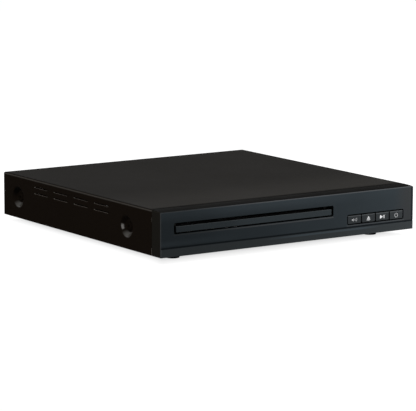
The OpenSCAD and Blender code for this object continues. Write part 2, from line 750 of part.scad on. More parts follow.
module loader_screws() {
    color([0.75, 0.75, 0.76]) place() at_loader() for (side = [-1, 1]) {
        for (y = ear_y) translate([side * ear_x, y, frame_z + ear_t])
            screw(screw_r, frame_z + ear_t - under - 0.2, screw_head_r);
        for (y = bridge_boss_y) translate([side * bridge_boss_x, y, bridge_z + bridge_t])
            screw(screw_r, 6, screw_head_r - 0.2);
    }
}

module clamp_bridge() {
    color([0.7, 0.71, 0.72]) place() at_loader() difference() {
        union() {
            block([-frame_out - 5, frame_out + 5], [disc_y - bridge_l / 2, disc_y + bridge_l / 2],
                [bridge_z, bridge_z + bridge_t]);
            for (y = [disc_y - bridge_l / 2, disc_y + bridge_l / 2 - bridge_t])
                block([-frame_in + 8, frame_in - 8], [y, y + bridge_t], [bridge_z, bridge_z + 3.2]);
        }
        post(0, disc_y, [bridge_z - 1, bridge_z + 5], clamp_hole_r);
        for (side = [-1, 1], y = bridge_boss_y)
            post(side * bridge_boss_x, y, [bridge_z - 1, bridge_z + 5], screw_r + screw_gap);
        for (side = [-1, 1]) block([side * 40 - 12, side * 40 + 12], [disc_y - 6, disc_y + 6],
            [bridge_z - 1, bridge_z + 2]);
    }
}

module disc_clamper() {
    color([0.12, 0.12, 0.13]) place() at_loader() difference() {
        union() {
            post(0, disc_y, [clamp_low, clamp_disc_top], clamper_r);
            post(0, disc_y, [clamp_disc_top - 0.1, clamp_flange_low + 0.1], clamp_neck_r);
            post(0, disc_y, [clamp_flange_low, clamp_flange_low + clamp_flange_t], clamp_hole_r + 2);
        }
        post(0, disc_y, [clamp_low - 1, hub_top + 0.5], hub_r + 0.8);
        for (a = [0:60:300]) translate([0, disc_y, 0]) rotate([0, 0, a])
            post(7, 0, [clamp_flange_low + clamp_flange_t - 0.7, clamp_flange_low + 4], 1.6);
    }
}

module loading_motor() {
    color([0.72, 0.72, 0.73]) place() at_loader() {
        difference() {
            post(motor_x, gear_y, [motor_low, motor_top], motor_r - 0.2);
            post(motor_x, gear_y, [motor_low - 1, motor_low + 5], shaft_r + run_gap);
        }
        difference() {
            post(motor_x, gear_y, [motor_plate_z + 0.2, motor_low + 0.1], 2.4);
            post(motor_x, gear_y, [motor_low - 2, motor_low + 5], shaft_r + run_gap);
        }
    }
}

module motor_pulley() {
    color([0.85, 0.83, 0.75]) place() at_loader() translate([motor_x, gear_y, gear_low]) {
        cylinder(h = motor_low + 4 - gear_low, r = shaft_r);
        pulley(motor_pulley_r, pulley_t);
    }
}

// A pulley with a flat-bottomed groove, on z = 0.
module pulley(r, t) {
    cylinder(h = t, r = r);
    for (z = [0, t - 0.3]) translate([0, 0, z]) cylinder(h = 0.3, r = r + belt_t + 0.1);
}

module belt_outline(grow) {
    r1 = pulley_r + pass_gap * 0.6 + grow;
    r2 = motor_pulley_r + pass_gap * 0.6 + grow;
    lean = acos((r1 - r2) / belt_span);
    circle(r1);
    translate([belt_span, 0]) circle(r2);
    polygon([polar(r1, lean), polar(r1, -lean),
        [belt_span + r2 * cos(lean), -r2 * sin(lean)], [belt_span + r2 * cos(lean), r2 * sin(lean)]]);
}

module drive_belt() {
    color([0.06, 0.06, 0.06]) place() at_loader() translate([pulley_x, gear_y, belt_z - belt_h / 2])
        linear_extrude(belt_h) difference() {
            belt_outline(belt_t - 0.3);
            belt_outline(0);
        }
}

module pulley_gear() {
    color([0.88, 0.87, 0.82]) place() at_loader() translate([pulley_x, gear_y, 0]) difference() {
        union() {
            translate([0, 0, gear_low]) pulley(pulley_r, pulley_t);
            translate([0, 0, gear_low]) rotate([0, 0, 180 / pinion_teeth])
                linear_extrude(wheel_low + wheel_t + 0.3 - gear_low) gear_outline(pinion_teeth, wheel_m, 0.15);
        }
        post(0, 0, [gear_low - 1, wheel_low + wheel_t + 2], post_r + run_gap);
    }
}

module tray_gear() {
    color([0.88, 0.87, 0.82]) place() at_loader() translate([gear_x, gear_y, 0]) difference() {
        union() {
            post(0, 0, [gear_low, pinion_top], 2.9);
            translate([0, 0, wheel_low]) linear_extrude(wheel_t) gear_outline(wheel_teeth, wheel_m, 0.15);
            translate([0, 0, wheel_low + wheel_t - 0.1]) rotate([0, 0, 180 + 180 / rack_teeth])
                linear_extrude(pinion_top - wheel_low - wheel_t + 0.1)
                    gear_outline(rack_teeth, rack_m, 0.25);
        }
        post(0, 0, [gear_low - 1, pinion_top + 2], post_r + run_gap);
    }
}

module cam_slider() {
    slot_r_cam = cam_pin_r + 0.35;
    slope = atan(cam_fall / cam_stroke);
    slot_l = sqrt(pow(cam_fall, 2) + pow(cam_stroke, 2));
    left = -cam_stroke - 8;
    tail = gear_x + 0.5;
    rack_line = gear_y + wheel_r + 1.7 * wheel_m + pass_gap;
    color([0.88, 0.87, 0.82]) place() at_loader() difference() {
        union() {
            block([left, 20], [cam_y, cam_y + cam_t], [cam_low, cam_top]);
            block([tail, left + 1], [cam_y, cam_y + cam_t], [wheel_low, wheel_low + wheel_t]);
            translate([tail + 2, rack_line, wheel_low]) rotate([0, 0, -90])
                linear_extrude(wheel_t) rack_outline(10, wheel_m, 0.15, cam_y - rack_line + 0.3);
        }
        translate([0, cam_y - 1, cam_z]) rotate([-90, 0, 0]) cylinder(h = cam_t + 2, r = slot_r_cam);
        translate([0, cam_y - 1, cam_z]) rotate([0, -slope, 0]) translate([-slot_l, 0, -slot_r_cam])
            cube([slot_l, cam_t + 2, 2 * slot_r_cam]);
        translate([-cam_stroke, cam_y - 1, cam_z - cam_fall]) rotate([-90, 0, 0])
            cylinder(h = cam_t + 2, r = slot_r_cam);
    }
}

module loader_board() {
    x = frame_in - 20;
    color([0.1, 0.35, 0.2]) place() at_loader() {
        block([x, x + 17], [9, 26], [frame_floor, frame_floor + board_t]);
        block([x + 1, x + 9], [10.5, 14.5], [frame_floor + board_t, frame_floor + 7]);
        block([x + 3, x + 15], [20, 25], [frame_floor + board_t, frame_floor + 6]);
    }
}

module deck_holder() {
    color([0.16, 0.16, 0.17]) place() at_loader() {
        difference() {
            block([-holder_half, holder_half], [holder_y, holder_rear], [holder_z, holder_z + holder_t]);
            block([-holder_in, holder_in], [disc_y - spindle_r - 2, rod_rear + 1], [holder_z - 1, holder_z + holder_t + 1]);
            for (side = [-1, 1], y = bush_y)
                post(side * bush_x, y, [holder_z - 1, holder_z + 5], deck_screw_r + screw_gap);
        }
        for (side = [-1, 1]) translate([side * holder_half, pivot_y, pivot_z]) rotate([0, side * 90, 0])
            translate([0, 0, -3]) cylinder(h = pivot_bracket_x + pivot_bracket_t - holder_half + 3, r = pivot_r);
        for (side = [-1, 1]) block([side * (holder_half - 2) - 2, side * (holder_half - 2) + 2],
            [pivot_y - 4, pivot_y + 4], [holder_z, pivot_z + pivot_r + 0.6]);
        block([-5, 5], [holder_y - 3, plate_y - pass_gap], [holder_z, cam_z + cam_pin_r + 0.4]);
        translate([0, cam_y - 0.2, cam_z]) rotate([-90, 0, 0])
            cylinder(h = holder_y - cam_y + 1, r = cam_pin_r);
    }
}

module rubber_bushes() {
    top = plate_top + 1.1;
    color([0.1, 0.1, 0.1]) place() at_loader() for (side = [-1, 1], y = bush_y)
        translate([side * bush_x, y, 0]) difference() {
            union() {
                post(0, 0, [holder_z + holder_t, plate_z], bush_r);
                post(0, 0, [plate_z - 0.1, plate_top + 0.1], bush_groove_r);
                post(0, 0, [plate_top, top], bush_r - 0.3);
            }
            post(0, 0, [holder_z, top + 1], deck_screw_r + screw_gap);
        }
}

module deck_screws() {
    color([0.7, 0.7, 0.71]) place() at_loader() for (side = [-1, 1], y = bush_y)
        translate([side * bush_x, y, plate_top + 1.1]) screw(deck_screw_r, plate_top + 1.1 - holder_z, 2);
}

module traverse_plate() {
    color([0.68, 0.69, 0.7]) place() at_loader() difference() {
        union() {
            block([-plate_half, plate_half], [plate_y, plate_rear], [plate_z, plate_top]);
            for (x = [-rod_x, rod_x], y = [rod_front, rod_rear - 2.5])
                block([x - 3, x + 3], [y, y + 2.5], [rod_z - rod_r - 1, plate_z + 0.1]);
            post(feed_x, feed_y, [feed_wheel_low - 0.3, plate_z + 0.1], feed_post_r);
        }
        block([-rod_x - 4.6, rod_x + 4.6], [rod_front + 2.5, rod_rear - 2.5], [plate_z - 1, plate_top + 1]);
        for (x = [-rod_x, rod_x]) translate([x, rod_front - 1, rod_z]) rotate([-90, 0, 0])
            cylinder(h = rod_rear - rod_front + 2, r = rod_r + 0.02);
        for (side = [-1, 1], y = bush_y)
            post(side * bush_x, y, [plate_z - 1, plate_top + 1], bush_groove_r + 0.05);
        post(0, disc_y, [plate_z - 1, plate_top + 1], 4);
        translate(feed_motor_at) post(0, 0, [plate_z - 1, plate_top + 1], feed_motor_r + 0.1);
    }
}

module guide_rods() {
    color([0.8, 0.8, 0.82]) place() at_loader() for (x = [-rod_x, rod_x])
        translate([x, rod_front, rod_z]) rotate([-90, 0, 0]) cylinder(h = rod_rear - rod_front, r = rod_r);
}

module spindle_motor() {
    color([0.75, 0.75, 0.76]) place() at_loader() difference() {
        union() {
            post(0, disc_y, [spindle_low, plate_z - 0.8], spindle_r);
            post(0, disc_y, [plate_z - 1, plate_z], spindle_r - 2);
            post(0, disc_y, [plate_z - 1, plate_top + 0.2], 3.6);
        }
        post(0, disc_y, [spindle_low + 0.6, plate_top + 1], spindle_shaft_r + run_gap);
    }
}

module spindle_shaft() {
    color([0.85, 0.85, 0.86]) place() at_loader()
        post(0, disc_y, [spindle_low + 1, table_seat - 1], spindle_shaft_r);
}

module turntable() {
    color([0.14, 0.14, 0.15]) place() at_loader() difference() {
        union() {
            post(0, disc_y, [table_low, table_seat - 3], 5);
            post(0, disc_y, [table_seat - 3.2, table_seat - 1.2], 11);
            post(0, disc_y, [table_seat - 1.3, table_seat - pad_t], turntable_r);
            post(0, disc_y, [table_seat - 1, table_seat + 0.8], hub_r);
            translate([0, disc_y, table_seat + 0.8]) cylinder(h = hub_top - table_seat - 0.8, r1 = hub_r, r2 = hub_r - 1.4);
        }
        post(0, disc_y, [table_low - 1, table_seat - 0.95], spindle_shaft_r + 0.01);
        post(0, disc_y, [hub_top - 0.8, hub_top + 1], 3);
    }
}

module disc_pad() {
    color([0.05, 0.05, 0.05]) place() at_loader() difference() {
        post(0, disc_y, [table_seat - pad_t, table_seat], turntable_r - 0.4);
        post(0, disc_y, [table_seat - 1, table_seat + 1], hub_r + 1.2);
    }
}

module feed_motor() {
    low = feed_wheel_low + feed_wheel_t + 0.4;
    color([0.72, 0.72, 0.73]) place() at_loader() difference() {
        union() {
            translate(feed_motor_at) post(0, 0, [low, tray_low - pass_gap], feed_motor_r);
            translate(feed_motor_at) post(0, 0, [plate_top, plate_top + 0.6], feed_motor_r + 0.6);
        }
        translate(feed_motor_at) post(0, 0, [low - 1, low + 4], 0.5 + run_gap);
    }
}

module feed_pinion() {
    color([0.8, 0.68, 0.4]) place() at_loader() translate(feed_motor_at) translate([0, 0, feed_wheel_low]) {
        rotate([0, 0, feed_mesh + 180]) linear_extrude(feed_wheel_t)
            gear_outline(feed_pinion_teeth, feed_m, 0.12);
        cylinder(h = feed_wheel_t + 3.6, r = 0.5);
    }
}

module feed_gear() {
    top = feed_rack_low + feed_rack_t;
    color([0.88, 0.87, 0.82]) place() at_loader() translate([feed_x, feed_y, 0]) difference() {
        union() {
            translate([0, 0, feed_wheel_low]) rotate([0, 0, feed_mesh + 180 / feed_wheel_teeth])
                linear_extrude(feed_wheel_t) gear_outline(feed_wheel_teeth, feed_m, 0.12);
            translate([0, 0, feed_wheel_low + feed_wheel_t - 0.1]) rotate([0, 0, 180 / feed_teeth])
                linear_extrude(top - feed_wheel_low - feed_wheel_t + 0.1)
                    gear_outline(feed_teeth, feed_m, 0.15);
        }
        post(0, 0, [feed_wheel_low - 1, top + 1], feed_post_r + run_gap);
    }
}

module pickup_sled() {
    rack_web = 2.3;
    color([0.2, 0.2, 0.21]) place() at_loader() difference() {
        union() {
            block([-sled_half, sled_half], [sled_y, sled_y + sled_l], [sled_z, sled_top]);
            for (x = [-rod_x, rod_x]) translate([x, sled_y, rod_z]) rotate([-90, 0, 0])
                cylinder(h = sled_l, r = sleeve_r);
            for (x = [-1, 1]) block([x * (rod_x - 4) - 4, x * (rod_x - 4) + 4], [sled_y, sled_y + sled_l],
                [rod_z - 1.4, rod_z + 1.4]);
            post(0, lens_y, [sled_top - 0.1, lens_top - 0.8], 6.5);
            translate([feed_rack_x, feed_y - feed_front_teeth * PI * feed_m, feed_rack_low])
                mirror([1, 0, 0]) linear_extrude(feed_rack_t)
                    rack_outline(feed_front_teeth + 2, feed_m, 0.12, rack_web);
            block([feed_rack_x + rack_web - 0.3, sleeve_r - rod_x], [feed_y - 12, feed_y], [rod_z - 1, rod_z + 0.8]);
        }
        for (x = [-rod_x, rod_x]) translate([x, sled_y - 1, rod_z]) rotate([-90, 0, 0])
            cylinder(h = sled_l + 2, r = rod_r + run_gap);
        post(0, lens_y, [lens_top - 2, lens_top], 3.2);
    }
}

module pickup_lens() {
    color([0.35, 0.45, 0.6]) place() at_loader() post(0, lens_y, [lens_top - 2, lens_top - 0.3], 3.2);
}

module key(i) {
    x = key_x + (i - (key_count - 1) / 2) * key_pitch;
    color([0.17, 0.19, 0.2]) place() translate([x, 0, key_mid]) {
        along_y(key_face, key_flange_y + 0.1) rounded(key_w, key_h - 2 * key_gap, key_r * 0.5);
        translate([0, (key_flange_y + key_flange_y + key_flange_t) / 2, 0])
            cube([key_pitch - 2 * key_gap, key_flange_t, key_h + 1.4], center = true);
        translate([0, key_flange_y, 0]) rotate([-90, 0, 0])
            cylinder(h = stem_end - key_flange_y, r = plunger_r);
    }
}

module sound_key() { key(0); }
module eject_key() { key(1); }
module play_key() { key(2); }
module power_key() { key(3); }

module plunger(i) {
    x = key_x + (i - (key_count - 1) / 2) * key_pitch;
    color([0.1, 0.1, 0.1]) place() translate([x, stem_end, key_mid]) rotate([-90, 0, 0])
        cylinder(h = plunger_l, r = plunger_r);
}

module sound_plunger() { plunger(0); }
module eject_plunger() { plunger(1); }
module play_plunger() { plunger(2); }
module power_plunger() { plunger(3); }

module key_board() {
    color([0.1, 0.35, 0.2]) place() difference() {
        block(key_board_x, [key_board_y, key_board_y + board_t], key_board_z);
        for (x = key_boss_x) translate([x, key_board_y - 1, key_boss_z]) rotate([-90, 0, 0])
            cylinder(h = board_t + 2, r = screw_r + screw_gap);
    }
}

module key_switches() {
    color([0.15, 0.15, 0.15]) place() for (i = [0:key_count - 1])
        translate([key_x + (i - (key_count - 1) / 2) * key_pitch, 0, key_mid]) difference() {
            block([-switch_half, switch_half], [switch_y, key_board_y], [-switch_half, switch_half]);
            translate([0, switch_y - 1, 0]) rotate([-90, 0, 0])
                cylinder(h = 1 + plunger_l + stem_end - switch_y + key_travel + 0.2, r = plunger_r + run_gap);
        }
}

module remote_receiver() {
    x = key_boss_x[0];
    z = key_mid - 2;
    color([0.1, 0.08, 0.1]) place() {
        block([x - 2.6, x + 2.6], [key_board_y - 2.8, key_board_y], [z - 3, z + 3]);
        translate([x, key_board_y - 2.7, z]) rotate([90, 0, 0]) cylinder(h = 1.2, r1 = 2.2, r2 = 1.2);
    }
}

module holed_board(x, y, holes) {
    color([0.1, 0.35, 0.2]) place() difference() {
        block(x, y, [board_z, board_top]);
        for (p = holes) post(p[0], p[1], [board_z - 1, board_top + 1], screw_r + screw_gap);
    }
}

module main_board() {
    holed_board([main_x, main_x + main_w], [main_y, board_edge], main_holes);
}

module power_board() {
    holed_board([psu_x, psu_x + psu_w], [psu_y, board_edge], psu_holes);
}

module main_chips() {
    color([0.07, 0.07, 0.08]) place() {
        block([chip_x - 8, chip_x + 8], [main_y + 8, main_y + 24], [board_top, board_top + 1.4]);
        block([chip_x + 16, chip_x + 26], [main_y + 8, main_y + 26], [board_top, board_top + 1.1]);
        block([chip_x - 30, chip_x - 20], [main_y + 6, main_y + 16], [board_top, board_top + 1.1]);
    }
}

module heat_sink() {
    color([0.12, 0.12, 0.13]) place() translate([chip_x, main_y + 16, board_top + 1.4]) {
        block([-9, 9], [-7.5, 7.5], [0, 1.6]);
        for (i = [-4:4]) block([i * 2.1 - 0.5, i * 2.1 + 0.5], [-7.5, 7.5], [1.5, 8]);
    }
}

module main_capacitors() {
    color([0.1, 0.1, 0.14]) place() for (p = [[-50, 8], [-50, 19], [44, 6], [44, 18], [-38, 19]])
        translate([chip_x + p[0], main_y + p[1], board_top]) can(3.2, 9);
}

// An electrolytic capacitor on z = 0.
module can(r, h) {
    cylinder(h = 0.8, r = r);
    cylinder(h = h - 0.4, r = r - 0.15);
    cylinder(h = h, r = r - 0.5);
}

module board_connectors() {
    color([0.9, 0.88, 0.82]) place() {
        block([loader_x - 11, loader_x + 11], [main_y + 2.2, main_y + 6], [board_top, pickup_ribbon_z + 1]);
        block(key_ribbon_x, [main_y + 1.5, main_y + 6], [board_top, board_top + 4]);
        block([harness_x[0] - 2.5, harness_x[0] + 2.5], [harness_y[0] - 1, harness_y[1] + 1],
            [board_top, board_top + 5]);
        block([harness_x[1] - 2.5, harness_x[1] + 2.5], [harness_y[0] - 1, harness_y[1] + 1],
            [board_top, board_top + 5]);
    }
}

module phono_jacks() {
    color([0.85, 0.82, 0.7]) place() for (x = concat(jack_x, [coax_x])) difference() {
        union() {
            block([x - 5.5, x + 5.5], [rear_in - 11, rear_in], [board_top, jack_z + 6]);
            translate([x, rear_in - 0.1, jack_z]) rotate([-90, 0, 0]) {
                cylinder(h = case_d + jack_out - rear_in + 0.1, r = jack_r);
                cylinder(h = rear_t + jack_collar_out + 0.1, r = jack_r + jack_collar);
            }
        }
        translate([x, rear_in, jack_z]) rotate([-90, 0, 0])
            cylinder(h = case_d + jack_out - rear_in + 1, r = phono_bore_r);
    }
}

module scart_socket() {
    low = board_top + 2;
    mid = low + scart_h / 2;
    color([0.1, 0.1, 0.1]) place() difference() {
        union() {
            block([scart_x - scart_w / 2, scart_x + scart_w / 2], [rear_in - 9, case_d + 1.4], [low, low + scart_h]);
            block([scart_x - scart_w / 2 - 9, scart_x + scart_w / 2 + 9], [rear_in - 2, rear_in], [low, low + scart_h]);
            for (x = [-18, 18]) block([scart_x + x - 3, scart_x + x + 3], [rear_in - 8, rear_in - 3],
                [board_top, low + 0.1]);
        }
        translate([scart_x, 0, mid]) along_y(case_d - 7, case_d + 3) difference() {
            polygon([[-21.5, -5.5], [17, -5.5], [21.5, -1], [21.5, 5.5], [-21.5, 5.5]]);
            translate([0, 0.2]) square([37, 4.2], center = true);
        }
        for (i = [0:9]) block([scart_x - 17 + i * 3.8, scart_x - 15.4 + i * 3.8], [case_d - 6, case_d + 3],
            [mid - 0.4, mid + 0.8]);
        for (x = rear_screw_xs) translate([x, rear_in - 4, mid]) rotate([-90, 0, 0])
            cylinder(h = 6, r = screw_r + screw_gap);
    }
}

module hdmi_socket() {
    mid = board_top + hdmi_h / 2;
    color([0.75, 0.75, 0.76]) place() difference() {
        block([hdmi_x - hdmi_w / 2, hdmi_x + hdmi_w / 2], [rear_in - 10.5, case_d + 0.6], [board_top, board_top + hdmi_h]);
        translate([hdmi_x, 0, mid]) along_y(rear_in - 8, case_d + 2) difference() {
            polygon([[-7, 2.4], [-7, -0.6], [-5.4, -2.4], [5.4, -2.4], [7, -0.6], [7, 2.4]]);
            translate([0, 1.3]) square([11, 0.9], center = true);
        }
    }
}

module power_parts() {
    x = psu_x;
    color([0.75, 0.65, 0.2]) place() {
        block([x + 14, x + 36], [psu_y + 36, psu_y + 56], [board_top, board_top + 17]);
        block([x + 11, x + 39], [psu_y + 39, psu_y + 53], [board_top + 1, board_top + 4]);
        block([x + 30, x + 44], [psu_y + 64, psu_y + 71], [board_top, board_top + 13]);
        translate([x + 20, psu_y + 69, board_top]) can(7.5, 20);
        for (y = [8, 24]) translate([x + 16, psu_y + y, board_top]) can(5, 16);
        block([x + 30, x + 32], [psu_y + 8, psu_y + 30], [board_top, board_top + 18]);
        translate([x + 44, psu_y + 39, board_top + 3.2]) rotate([-90, 0, 0]) {
            cylinder(h = 5, r = 2.9);
            cylinder(h = 15, r = 2.5);
            translate([0, 0, 11]) cylinder(h = 5, r = 2.9);
        }
    }
}

module mains_inlet() {
    color([0.08, 0.08, 0.08]) place() {
        difference() {
            union() {
                block([inlet_x - inlet_w / 2, inlet_x + inlet_w / 2], [rear_in - 12, rear_in + rear_t + 0.1],
                    [board_top, board_top + inlet_h]);
                block([inlet_x - inlet_w / 2 - 1.5, inlet_x + inlet_w / 2 + 1.5],
                    [rear_in + rear_t, case_d + 1.2], [board_top - 1.2, board_top + inlet_h + 1.2]);
            }
            translate([inlet_x, 0, inlet_z]) along_y(rear_in - 10, case_d + 3) {
                for (x = [-1, 1]) translate([x * inlet_pin_gap / 2, 0]) circle(inlet_r);
                square([inlet_pin_gap, 4.6], center = true);
            }
        }
        for (x = [-1, 1]) translate([inlet_x + x * inlet_pin_gap / 2, rear_in - 10.1, inlet_z])
            rotate([-90, 0, 0]) cylinder(h = 9, r = 1.2);
    }
}

module board_screws() {
    color([0.75, 0.75, 0.76]) place() {
        for (p = concat(main_holes, psu_holes)) translate([p[0], p[1], board_top])
            screw(screw_r, board_t + board_lift - 0.4, screw_head_r);
        for (x = key_boss_x) translate([x, key_board_y + board_t, key_boss_z]) rotate([-90, 0, 0])
            screw(screw_r, 6, screw_head_r * 0.8);
    }
}

module key_ribbon() {
    color([0.85, 0.85, 0.82]) place() strip_path([
        [key_board_y + board_t + ribbon_t / 2, key_mid - 4.5], [cover_y + 1.2, key_mid - 4.5],
        [cover_y + 1.2, ribbon_z], [main_y - 2.5, ribbon_z], [main_y - 2.5, board_top + 2.6],
        [main_y + 1.5 - ribbon_t / 2, board_top + 2.6]], key_ribbon_x, ribbon_t);
}

module pickup_ribbon() {
    color([0.85, 0.85, 0.82]) place() strip_path([
        [main_y + 2.2 - ribbon_t / 2, pickup_ribbon_z], [holder_rear + 0.6 + ribbon_t / 2, pickup_ribbon_z]],
        [loader_x - 10, loader_x + 10], ribbon_t);
}

module power_harness() {
    arch = board_top + 8;
    low = board_top + 5;
    color([0.7, 0.1, 0.1]) place() for (i = [0:3])
        translate([0, harness_y[0] + 1 + i * 2, 0]) {
            for (x = harness_x) post(x, 0, [low, arch], 0.7);
            block([harness_x[0] - 0.7, harness_x[1] + 0.7], [-0.7, 0.7], [arch - 0.7, arch + 0.7]);
        }
}

top_cover();
chassis_base();
rear_panel();
front_bezel();
feet();
case_screws();
disc_tray();
tray_door();
loader_frame();
loader_screws();
clamp_bridge();
disc_clamper();
loading_motor();
motor_pulley();
drive_belt();
pulley_gear();
tray_gear();
cam_slider();
loader_board();
deck_holder();
rubber_bushes();
deck_screws();
traverse_plate();
guide_rods();
spindle_motor();
spindle_shaft();
turntable();
disc_pad();
feed_motor();
feed_pinion();
feed_gear();
pickup_sled();
pickup_lens();
sound_key();
eject_key();
play_key();
power_key();
sound_plunger();
eject_plunger();
play_plunger();
power_plunger();
key_board();
key_switches();
remote_receiver();
main_board();
main_chips();
heat_sink();
main_capacitors();
board_connectors();
phono_jacks();
scart_socket();
hdmi_socket();
power_board();
power_parts();
mains_inlet();
board_screws();
key_ribbon();
pickup_ribbon();
power_harness();
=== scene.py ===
"""Looks of a compact disc player with a motorised tray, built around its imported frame.

Every piece is made in metres in the frame's own coordinates: the front faces -Y and +Z is up.
The depths in the pieces count from the front face, whose place is read from the frame.
"""

import json
import logging
import math
from contextlib import contextmanager
from dataclasses import dataclass, field
from enum import Enum
from typing import Any, Callable, Iterable, Iterator, Sequence

import bmesh
import bpy
from mathutils import Matrix, Vector
from mathutils.geometry import tessellate_polygon


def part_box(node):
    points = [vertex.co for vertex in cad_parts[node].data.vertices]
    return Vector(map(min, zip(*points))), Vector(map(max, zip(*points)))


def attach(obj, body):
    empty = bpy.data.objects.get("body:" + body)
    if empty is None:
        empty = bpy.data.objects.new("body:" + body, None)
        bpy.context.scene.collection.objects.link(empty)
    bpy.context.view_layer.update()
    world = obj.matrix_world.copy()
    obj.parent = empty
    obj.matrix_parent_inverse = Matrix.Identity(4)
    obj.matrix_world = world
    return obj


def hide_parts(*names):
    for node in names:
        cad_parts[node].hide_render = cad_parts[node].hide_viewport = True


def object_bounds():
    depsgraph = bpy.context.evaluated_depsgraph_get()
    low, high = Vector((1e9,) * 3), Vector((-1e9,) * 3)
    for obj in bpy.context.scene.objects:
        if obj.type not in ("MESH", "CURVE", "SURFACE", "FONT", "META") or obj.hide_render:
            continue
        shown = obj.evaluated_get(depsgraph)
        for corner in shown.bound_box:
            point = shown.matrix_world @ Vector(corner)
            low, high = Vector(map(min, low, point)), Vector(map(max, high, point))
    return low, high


LOG = logging.getLogger("disc_player")
MM = 0.001
HALF_WIDTH = 112.5 * MM
HEIGHT = 38.0 * MM
DIMPLE_HEIGHT = 21.2 * MM

# Turn of a part that points up so that it points to the rear.
TO_REAR = (-math.pi / 2, 0, 0)

# Shares of a rounding across and along the edge of a closed plate, from its front.
PLATE_EDGE = ((1, 0), (0.5, 0.13), (0.13, 0.5), (0, 1))

# Numbers of the sockets for colours on a Mix node.
MIX_SHARE, MIX_FIRST, MIX_SECOND, MIX_RESULT = 0, 6, 7, 2

# Distances in metres and angles in degrees that clean up a mesh.
MERGE, COPY_MERGE, NO_LENGTH = 1e-6, 2e-6, 1e-8
FLAT_ANGLE, EDGE_ANGLE, SHARP_ANGLE = 0.6, 35.0, 40.0
FACE_WEIGHT = 80
Point = tuple[float, float]
Colour = tuple[float, float, float]
Place = Callable[[float, float, float], Sequence[float]]

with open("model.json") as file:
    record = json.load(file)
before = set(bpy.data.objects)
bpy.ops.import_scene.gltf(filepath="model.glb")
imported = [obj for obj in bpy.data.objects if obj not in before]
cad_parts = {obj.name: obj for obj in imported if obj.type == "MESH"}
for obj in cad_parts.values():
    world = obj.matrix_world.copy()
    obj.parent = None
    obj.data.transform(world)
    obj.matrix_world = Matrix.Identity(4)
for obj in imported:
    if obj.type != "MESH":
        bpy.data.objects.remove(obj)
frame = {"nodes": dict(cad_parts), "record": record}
CAD_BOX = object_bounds()


class Sign(Enum):
    """Generic signs printed on the keys."""

    SOUND = "sound"
    EJECT = "eject"
    PLAY = "play"
    POWER = "power"


def mm(*values: float) -> tuple[float, ...]:
    """Millimetres as metres."""
    return tuple(v * MM for v in values)


# ---------------------------------------------------------------- shader tools


def toned(colour: Colour, factor: float) -> Colour:
    """The colour made darker or lighter by a factor."""
    return tuple(c * factor for c in colour)


class Nodes:
    """A node tree that is being built."""

    def __init__(self, tree: bpy.types.NodeTree) -> None:
        """Keeps the tree."""
        self.tree = tree

    def add(self, kind: str, settings: dict[str, Any] | None = None,
            inputs: dict[Any, Any] | None = None) -> bpy.types.Node:
        """Adds one node.

        Args:
            kind: type of the node.
            settings: properties, set before the sockets.
            inputs: values, sockets or wires, by name or number of the socket.

        Returns:
            The node.
        """
        made = self.tree.nodes.new(kind)
        for key, value in (settings or {}).items():
            setattr(made, key, value)
        for key, value in (inputs or {}).items():
            socket = made.inputs[key]
            value = value.socket if isinstance(value, Wire) else value
            if isinstance(value, bpy.types.NodeSocket):
                self.tree.links.new(value, socket)
            else:
                socket.default_value = (*value, 1.0) if socket.type == "RGBA" else value
        return made


def operator(operation: str, turned: bool = False) -> Callable[..., "Wire"]:
    """Makes a method that adds one Math node.

    Args:
        operation: what the node works out.
        turned: whether the wire comes after the other value.

    Returns:
        The method, which takes a wire and the node's other values and returns a wire.
    """
    def method(wire: "Wire", *others: Any) -> "Wire":
        """Adds the node on a wire and other values."""
        values = (*others, wire) if turned else (wire, *others)
        return wire.shader.node("ShaderNodeMath", {"operation": operation},
                                dict(enumerate(values)))

    return method


class Wire:
    """A shader socket that takes part in Python arithmetic.

    The comparisons over and under give 1 where they hold and 0 elsewhere, largest takes the
    larger of two values, size drops the sign, and wrap and floor split off the whole part.
    """

    def __init__(self, shader: "Shader", socket: Any) -> None:
        """Keeps the socket and the shader that it belongs to."""
        self.shader = shader
        self.socket = socket

    __add__ = __radd__ = operator("ADD")
    __sub__ = operator("SUBTRACT")
    __rsub__ = operator("SUBTRACT", turned=True)
    __mul__ = __rmul__ = operator("MULTIPLY")
    __truediv__ = operator("DIVIDE")
    over = operator("GREATER_THAN")
    under = operator("LESS_THAN")
    largest = operator("MAXIMUM")
    size = operator("ABSOLUTE")
    wrap = operator("FRACT")
    floor = operator("FLOOR")

    def __neg__(self) -> "Wire":
        """The value with its sign turned."""
        return 0.0 - self

    def within(self, low: float, high: float) -> "Wire":
        """1 where the value is between two edges, otherwise 0."""
        return self.over(low) * self.under(high)

    def ramp(self, low: float, high: float, start: float = 0.0, end: float = 1.0) -> "Wire":
        """Smooth step of the value between two edges.

        Args:
            low: value where the step starts.
            high: value where the step ends.
            start: result below the step.
            end: result above the step.

        Returns:
            The stepped value.
        """
        settings = {"interpolation_type": "SMOOTHSTEP"}
        inputs = {"Value": self, "From Min": low, "From Max": high, "To Min": start, "To Max": end}
        return self.shader.node("ShaderNodeMapRange", settings, inputs)

    def fall(self, low: float, high: float) -> "Wire":
        """Smooth step from 1 down to 0."""
        return self.ramp(low, high, 1.0, 0.0)

    def band(self, low: float, full: float, last: float, high: float) -> "Wire":
        """Smooth rise from low to full and smooth fall from last to high."""
        return self.ramp(low, full) * self.fall(last, high)


